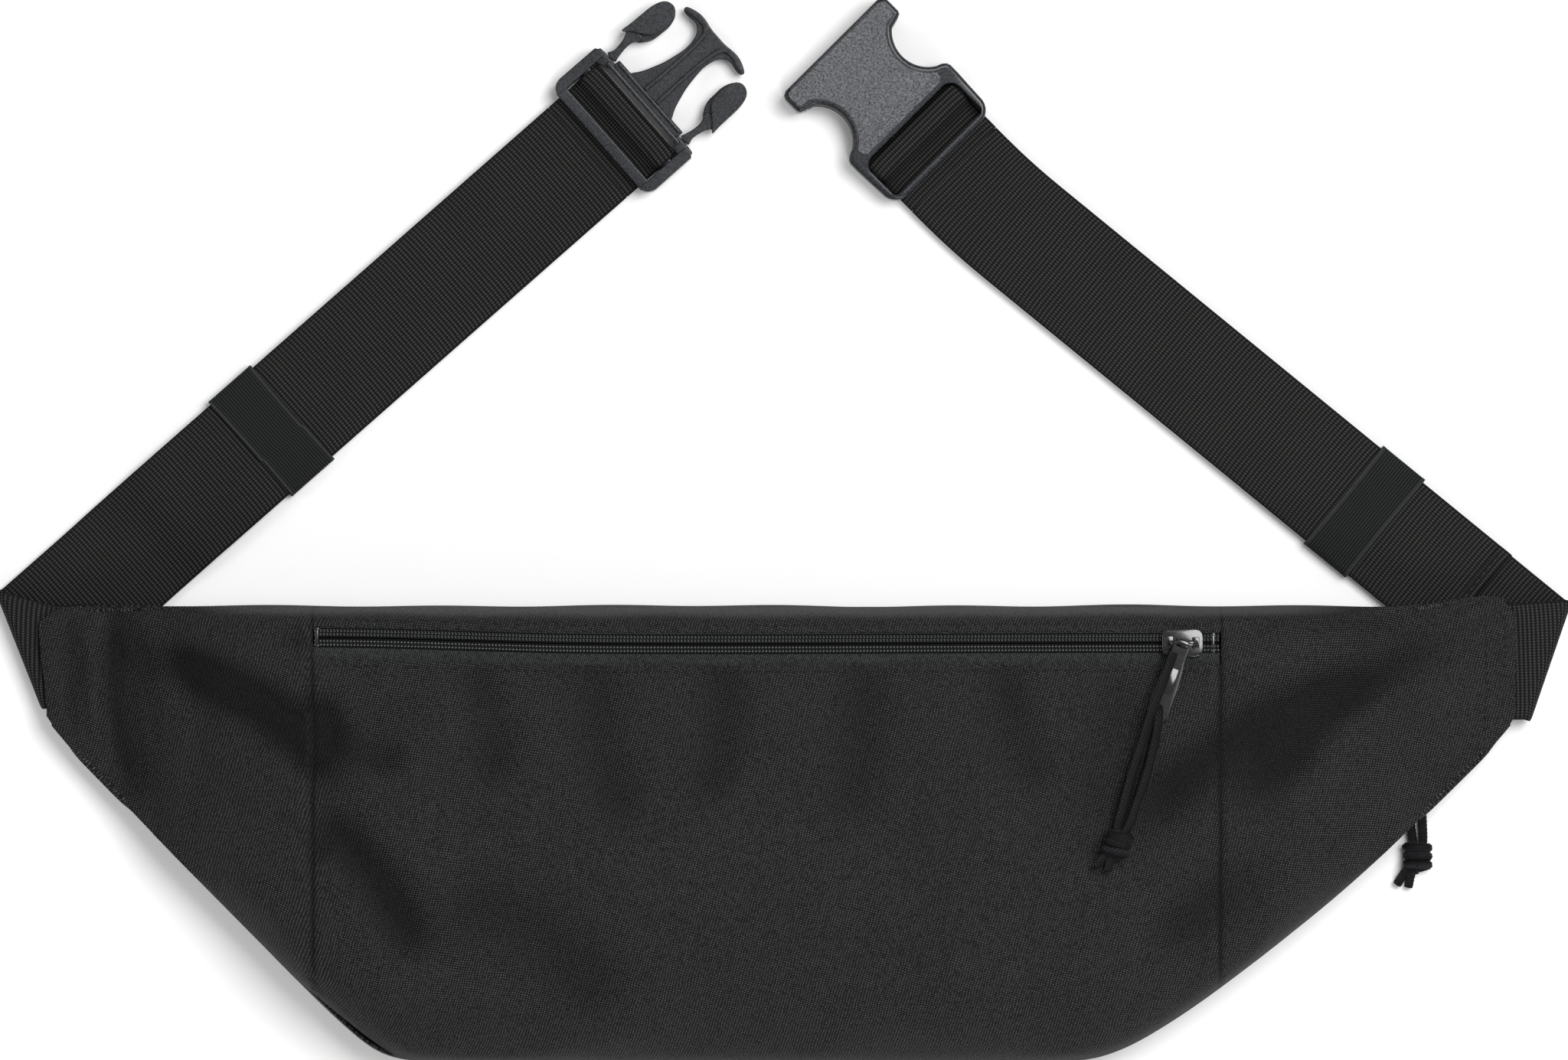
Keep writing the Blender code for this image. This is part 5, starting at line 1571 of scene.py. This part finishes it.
# %% Node tools
class Finish:
    """A material under construction, with short ways to add and join its nodes."""

    def __init__(self, name, colour, roughness, metallic=0.0):
        self.material = bpy.data.materials.new(name + "_finish")
        self.material.use_nodes = True
        self.tree = self.material.node_tree
        self.shader = self.tree.nodes["Principled BSDF"]
        self.set("Base Color", (*colour, 1.0))
        self.set("Roughness", roughness)
        self.set("Metallic", metallic)

    def set(self, socket, value):
        self.shader.inputs[socket].default_value = value

    def node(self, kind, **settings):
        made = self.tree.nodes.new(kind)
        for name, value in settings.items():
            setattr(made, name, value)
        return made

    def join(self, source, target):
        self.tree.links.new(source, target)
        return source

    def math(self, operation, a, b=0.0, clamp=False):
        made = self.node("ShaderNodeMath", operation=operation, use_clamp=clamp)
        for socket, value in zip(made.inputs, (a, b)):
            if isinstance(value, (int, float)):
                socket.default_value = value
            else:
                self.join(value, socket)
        return made.outputs[0]

    def map(self):
        """The piece's own pattern map, as separate distances in metres."""
        source = self.node("ShaderNodeUVMap", uv_map="pattern")
        split = self.node("ShaderNodeSeparateXYZ")
        self.join(source.outputs[0], split.inputs[0])
        return split.outputs[0], split.outputs[1]

    def place(self):
        return self.node("ShaderNodeTexCoord").outputs["Object"]

    def noise(self, scale, detail=2.0, roughness=0.5, place=None):
        made = self.node("ShaderNodeTexNoise")
        made.inputs["Scale"].default_value = scale
        made.inputs["Detail"].default_value = detail
        made.inputs["Roughness"].default_value = roughness
        self.join(place or self.place(), made.inputs["Vector"])
        return made.outputs["Fac"]

    def between(self, value, low, high, at=(0.0, 1.0)):
        """A colour that goes from low to high as the value goes between two levels."""
        ramp = self.node("ShaderNodeValToRGB")
        ramp.color_ramp.elements[0].position, ramp.color_ramp.elements[1].position = at
        ramp.color_ramp.elements[0].color = (*low, 1)
        ramp.color_ramp.elements[1].color = (*high, 1)
        self.join(value, ramp.inputs[0])
        return ramp.outputs[0]

    def level(self, value, low, high):
        made = self.node("ShaderNodeMapRange")
        made.inputs["To Min"].default_value = low
        made.inputs["To Max"].default_value = high
        self.join(value, made.inputs["Value"])
        return made.outputs[0]

    def bump(self, height, distance, strength=1.0, under=None):
        made = self.node("ShaderNodeBump")
        made.inputs["Distance"].default_value = distance
        made.inputs["Strength"].default_value = strength
        self.join(height, made.inputs["Height"])
        if under:
            self.join(under, made.inputs["Normal"])
        return made.outputs[0]

    def done(self, colour=None, roughness=None, normal=None):
        if colour:
            self.join(colour, self.shader.inputs["Base Color"])
        if roughness:
            self.join(roughness, self.shader.inputs["Roughness"])
        if normal:
            self.join(normal, self.shader.inputs["Normal"])
        return self.material


# %% Cloth finishes
def cloth_finish(name, dark, light, pitch, depth, roughness, sheen):
    """Plain weave in two shades: the threads that lie on top catch the light, the others sit deep."""
    made = Finish(name, light, roughness)
    u, v = made.map()
    u = made.math("ADD", u, made.math("MULTIPLY", made.noise(170.0, 1.0), 1.0 * mm))  # threads never run quite straight
    v = made.math("ADD", v, made.math("MULTIPLY", made.noise(230.0, 1.0), 1.0 * mm))
    rising = made.math("ADD", u, made.math("MULTIPLY", v, 0.7))
    falling = made.math("SUBTRACT", v, made.math("MULTIPLY", u, 0.45))
    wave_a = made.math("SINE", made.math("MULTIPLY", rising, math.pi / pitch))
    wave_b = made.math("SINE", made.math("MULTIPLY", falling, math.pi / (pitch * 0.9)))
    product = made.math("MULTIPLY", wave_a, wave_b)
    over = made.math("MAXIMUM", product, 0.0)
    under = made.math("MAXIMUM", made.math("MULTIPLY", product, -1.0), 0.0)
    deep = made.math("MULTIPLY", made.math("POWER", under, 0.6), 0.22)
    height = made.math("ADD", made.math("POWER", over, 0.6), deep)
    patches = made.noise(30.0, 3.0)
    threads = made.noise(1150.0, 2.0, 0.65)
    mixed = made.math("MULTIPLY", height, made.level(threads, -0.35, 2.3), clamp=True)
    mixed = made.math("MULTIPLY", mixed, made.level(patches, 0.8, 1.2), clamp=True)
    # painted shade and light from the shadow attribute: darker in fold valleys and along seams, lighter on fold crests
    shadow = made.node("ShaderNodeAttribute", attribute_name="shadow", attribute_type="GEOMETRY").outputs["Fac"]
    mixed = made.math("MULTIPLY", mixed, made.math("SUBTRACT", 1.0, shadow, clamp=False), clamp=True)
    made.set("Sheen Weight", sheen)
    made.set("Sheen Roughness", 0.45)
    made.set("Specular IOR Level", 0.1)
    return made.done(
        made.between(mixed, dark, light, (0.1, 0.95)),
        made.level(patches, roughness - 0.05, roughness + 0.05),
        made.bump(height, depth),
    )


looks = {
    "bag_cloth": cloth_finish(
        "bag_cloth", (0.002, 0.002, 0.002), (0.06, 0.06, 0.0605), 0.66 * mm, 0.2 * mm, 0.62, 0.015),
    "lining": cloth_finish("lining", (0.003, 0.003, 0.0033), (0.012, 0.012, 0.0126), 0.35 * mm, 0.06 * mm, 0.7, 0.05),
}


# %% Ribbed finishes, which read the crests marked on the mesh
def ribbed_finish(name, groove, crest, roughness, dash, weave_pitch, depth, specular=0.12):
    """Webbing, elastic, cord and zip: grooves painted dark as painted shade, and crests painted light as painted
    highlights, broken up by the threads that cross them.
    """
    made = Finish(name, crest, roughness)
    mark = made.node("ShaderNodeAttribute", attribute_name="crest", attribute_type="GEOMETRY").outputs["Fac"]
    u, v = made.map()
    wave = made.math("SINE", made.math("MULTIPLY", v, 2 * math.pi / dash))
    threads = made.level(wave, 0.2, 1.15)
    fine = made.noise(2400.0, 1.0)
    mixed = made.math("MULTIPLY", made.math("POWER", mark, 1.5), threads)
    mixed = made.math("MULTIPLY", mixed, made.level(fine, 0.55, 1.45), clamp=True)
    mixed = made.math("MULTIPLY", mixed, made.level(made.noise(60.0, 2.0), 0.82, 1.18), clamp=True)
    twill = made.math("SINE", made.math("MULTIPLY", made.math("ADD", u, v), 2 * math.pi / weave_pitch))
    made.set("Specular IOR Level", specular)
    made.set("Sheen Weight", 0.015)
    made.set("Sheen Roughness", 0.4)
    # the colour runs from the groove colour, painted shade, to the crest colour, painted highlight
    return made.done(
        made.between(mixed, groove, crest),
        made.level(mixed, roughness + 0.12, roughness - 0.08),
        made.bump(made.math("MULTIPLY", made.level(twill, 0.0, 1.0), threads), depth),
    )


# each ribbed finish has a groove colour, painted shade, and a crest colour, painted highlight
looks["webbing"] = ribbed_finish(
    "webbing", (0.001, 0.001, 0.001), (0.06, 0.0585, 0.057), 0.55, 0.9 * mm, 0.5 * mm, 0.05 * mm)
looks["elastic"] = ribbed_finish(
    "elastic", (0.005, 0.0056, 0.0053), (0.066, 0.072, 0.069), 0.75, 0.5 * mm, 0.45 * mm, 0.05 * mm, 0.08)
looks["zip_tape"] = cloth_finish(
    "zip_tape", (0.004, 0.0045, 0.0043), (0.07, 0.077, 0.074), 0.5 * mm, 0.12 * mm, 0.7, 0.01)
looks["zip_coil"] = ribbed_finish(
    "zip_coil", (0.002, 0.0022, 0.0021), (0.24, 0.253, 0.247), 0.65, 0.6 * mm, 0.5 * mm, 0.05 * mm, 0.08)
looks["cord"] = ribbed_finish("cord", (0.001, 0.001, 0.0012), (0.036, 0.037, 0.042), 0.55, 0.5, 0.5 * mm, 0.04 * mm)
thread = Finish("thread", (0.008, 0.008, 0.0085), 0.5)
thread.set("Specular IOR Level", 0.15)
looks["thread"] = thread.done(
    thread.between(thread.noise(1500.0), (0.003, 0.003, 0.0032), (0.012, 0.012, 0.0125)),
    normal=thread.bump(thread.noise(2500.0), 0.05 * mm),
)


# %% Moulded plastic and enamelled metal
def plastic_finish(name, colour, light, roughness, depth, scale):
    made = Finish(name, colour, roughness)
    speck = made.noise(scale, 2.0, 0.6)
    cast = made.noise(45.0, 2.0)
    made.set("Specular IOR Level", 0.3)
    return made.done(
        made.between(made.math("MULTIPLY", speck, made.level(cast, 0.85, 1.15)), colour, light, (0.3, 0.72)),
        made.level(cast, roughness - 0.05, roughness + 0.06),
        made.bump(speck, depth),
    )


looks["buckle_plastic"] = plastic_finish(
    "buckle_plastic", (0.0025, 0.0027, 0.0034), (0.03, 0.032, 0.038), 0.27, 0.03 * mm, 1500.0)
# the broad face of the female half: the same plastic, rougher, painted much lighter as a painted sheen
looks["buckle_face"] = plastic_finish(
    "buckle_face", (0.008, 0.0085, 0.0105), (0.13, 0.133, 0.146), 0.42, 0.06 * mm, 1500.0)
enamel = Finish("zip_metal", (0.004, 0.004, 0.005), 0.13, 0.0)
enamel.set("Coat Weight", 0.4)
enamel.set("Coat Roughness", 0.08)
looks["zip_metal"] = enamel.done(
    enamel.between(enamel.noise(350.0), (0.003, 0.003, 0.004), (0.008, 0.008, 0.01)),
    enamel.level(enamel.noise(900.0), 0.1, 0.24),
)

# %% Dressing every piece, and the frame's own nodes that still show
for piece, finish in finishes:
    piece.data.materials.clear()
    piece.data.materials.append(looks[finish])
# the broad face gets the lighter finish: a painted sheen on the same plastic
female.data.materials.append(looks["buckle_face"])
for polygon, mark in zip(female.data.polygons, female.data.attributes["face"].data):
    polygon.material_index = int(mark.value > 0.5)
slot_of = {row["node"]: row["material_slot"] for row in frame["record"]["subparts"]}
for name, node in frame["nodes"].items():
    node.data.materials.clear()
    node.data.materials.append(looks[slot_of[name]])

# %% [markdown]
# ## Table, light and camera
#
# A pale table, a broad key light high at the upper right, and two weaker ones from the left and the
# front. The key light draws real highlights on the buckle and on the crests of the ribs; the broad
# face of the buckle and the crests are also painted lighter in their finishes.

# %% Table and lights
bpy.ops.object.select_all(action="DESELECT")
bpy.ops.mesh.primitive_plane_add(size=60, location=(0, 0, 0))
table = bpy.context.object
table.name = "table"
paint = bpy.data.materials.new("table_paint")
paint.use_nodes = True
paint.node_tree.nodes["Principled BSDF"].inputs["Base Color"].default_value = (0.86, 0.86, 0.86, 1)
paint.node_tree.nodes["Principled BSDF"].inputs["Roughness"].default_value = 0.8
table.data.materials.append(paint)
world = bpy.data.worlds.new("studio")
bpy.context.scene.world = world
world.use_nodes = True
world.node_tree.nodes["Background"].inputs[0].default_value = (1, 1, 1, 1)
world.node_tree.nodes["Background"].inputs[1].default_value = 0.38


def soft_light(name, place, aim, size, watts):
    bpy.ops.object.select_all(action="DESELECT")
    bpy.ops.object.light_add(type="AREA", location=place)
    light = bpy.context.object
    light.name = name
    light.data.size = size
    light.data.energy = watts
    light.rotation_euler = (Vector(place) - Vector(aim)).to_track_quat("Z", "Y").to_euler()
    return light


soft_light("key", (0.8, 0.7, 2.0), (0, 0.12, 0), 1.2, 47)
soft_light("left", (-1.55, 0.2, 1.15), (0, 0.12, 0), 0.7, 6)
soft_light("front", (0.5, -1.35, 1.2), (0, 0.12, 0), 0.7, 12)

bpy.context.scene.view_settings.view_transform = "Standard"  # keeps the table white and the nylon black

# %% Check and finish
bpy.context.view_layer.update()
lowest = min((min((piece.matrix_world @ v.co).z for v in piece.data.vertices), piece.name) for piece, _ in finishes)
print(f"lowest piece: {lowest[1]}, {lowest[0] / mm:.1f} mm")
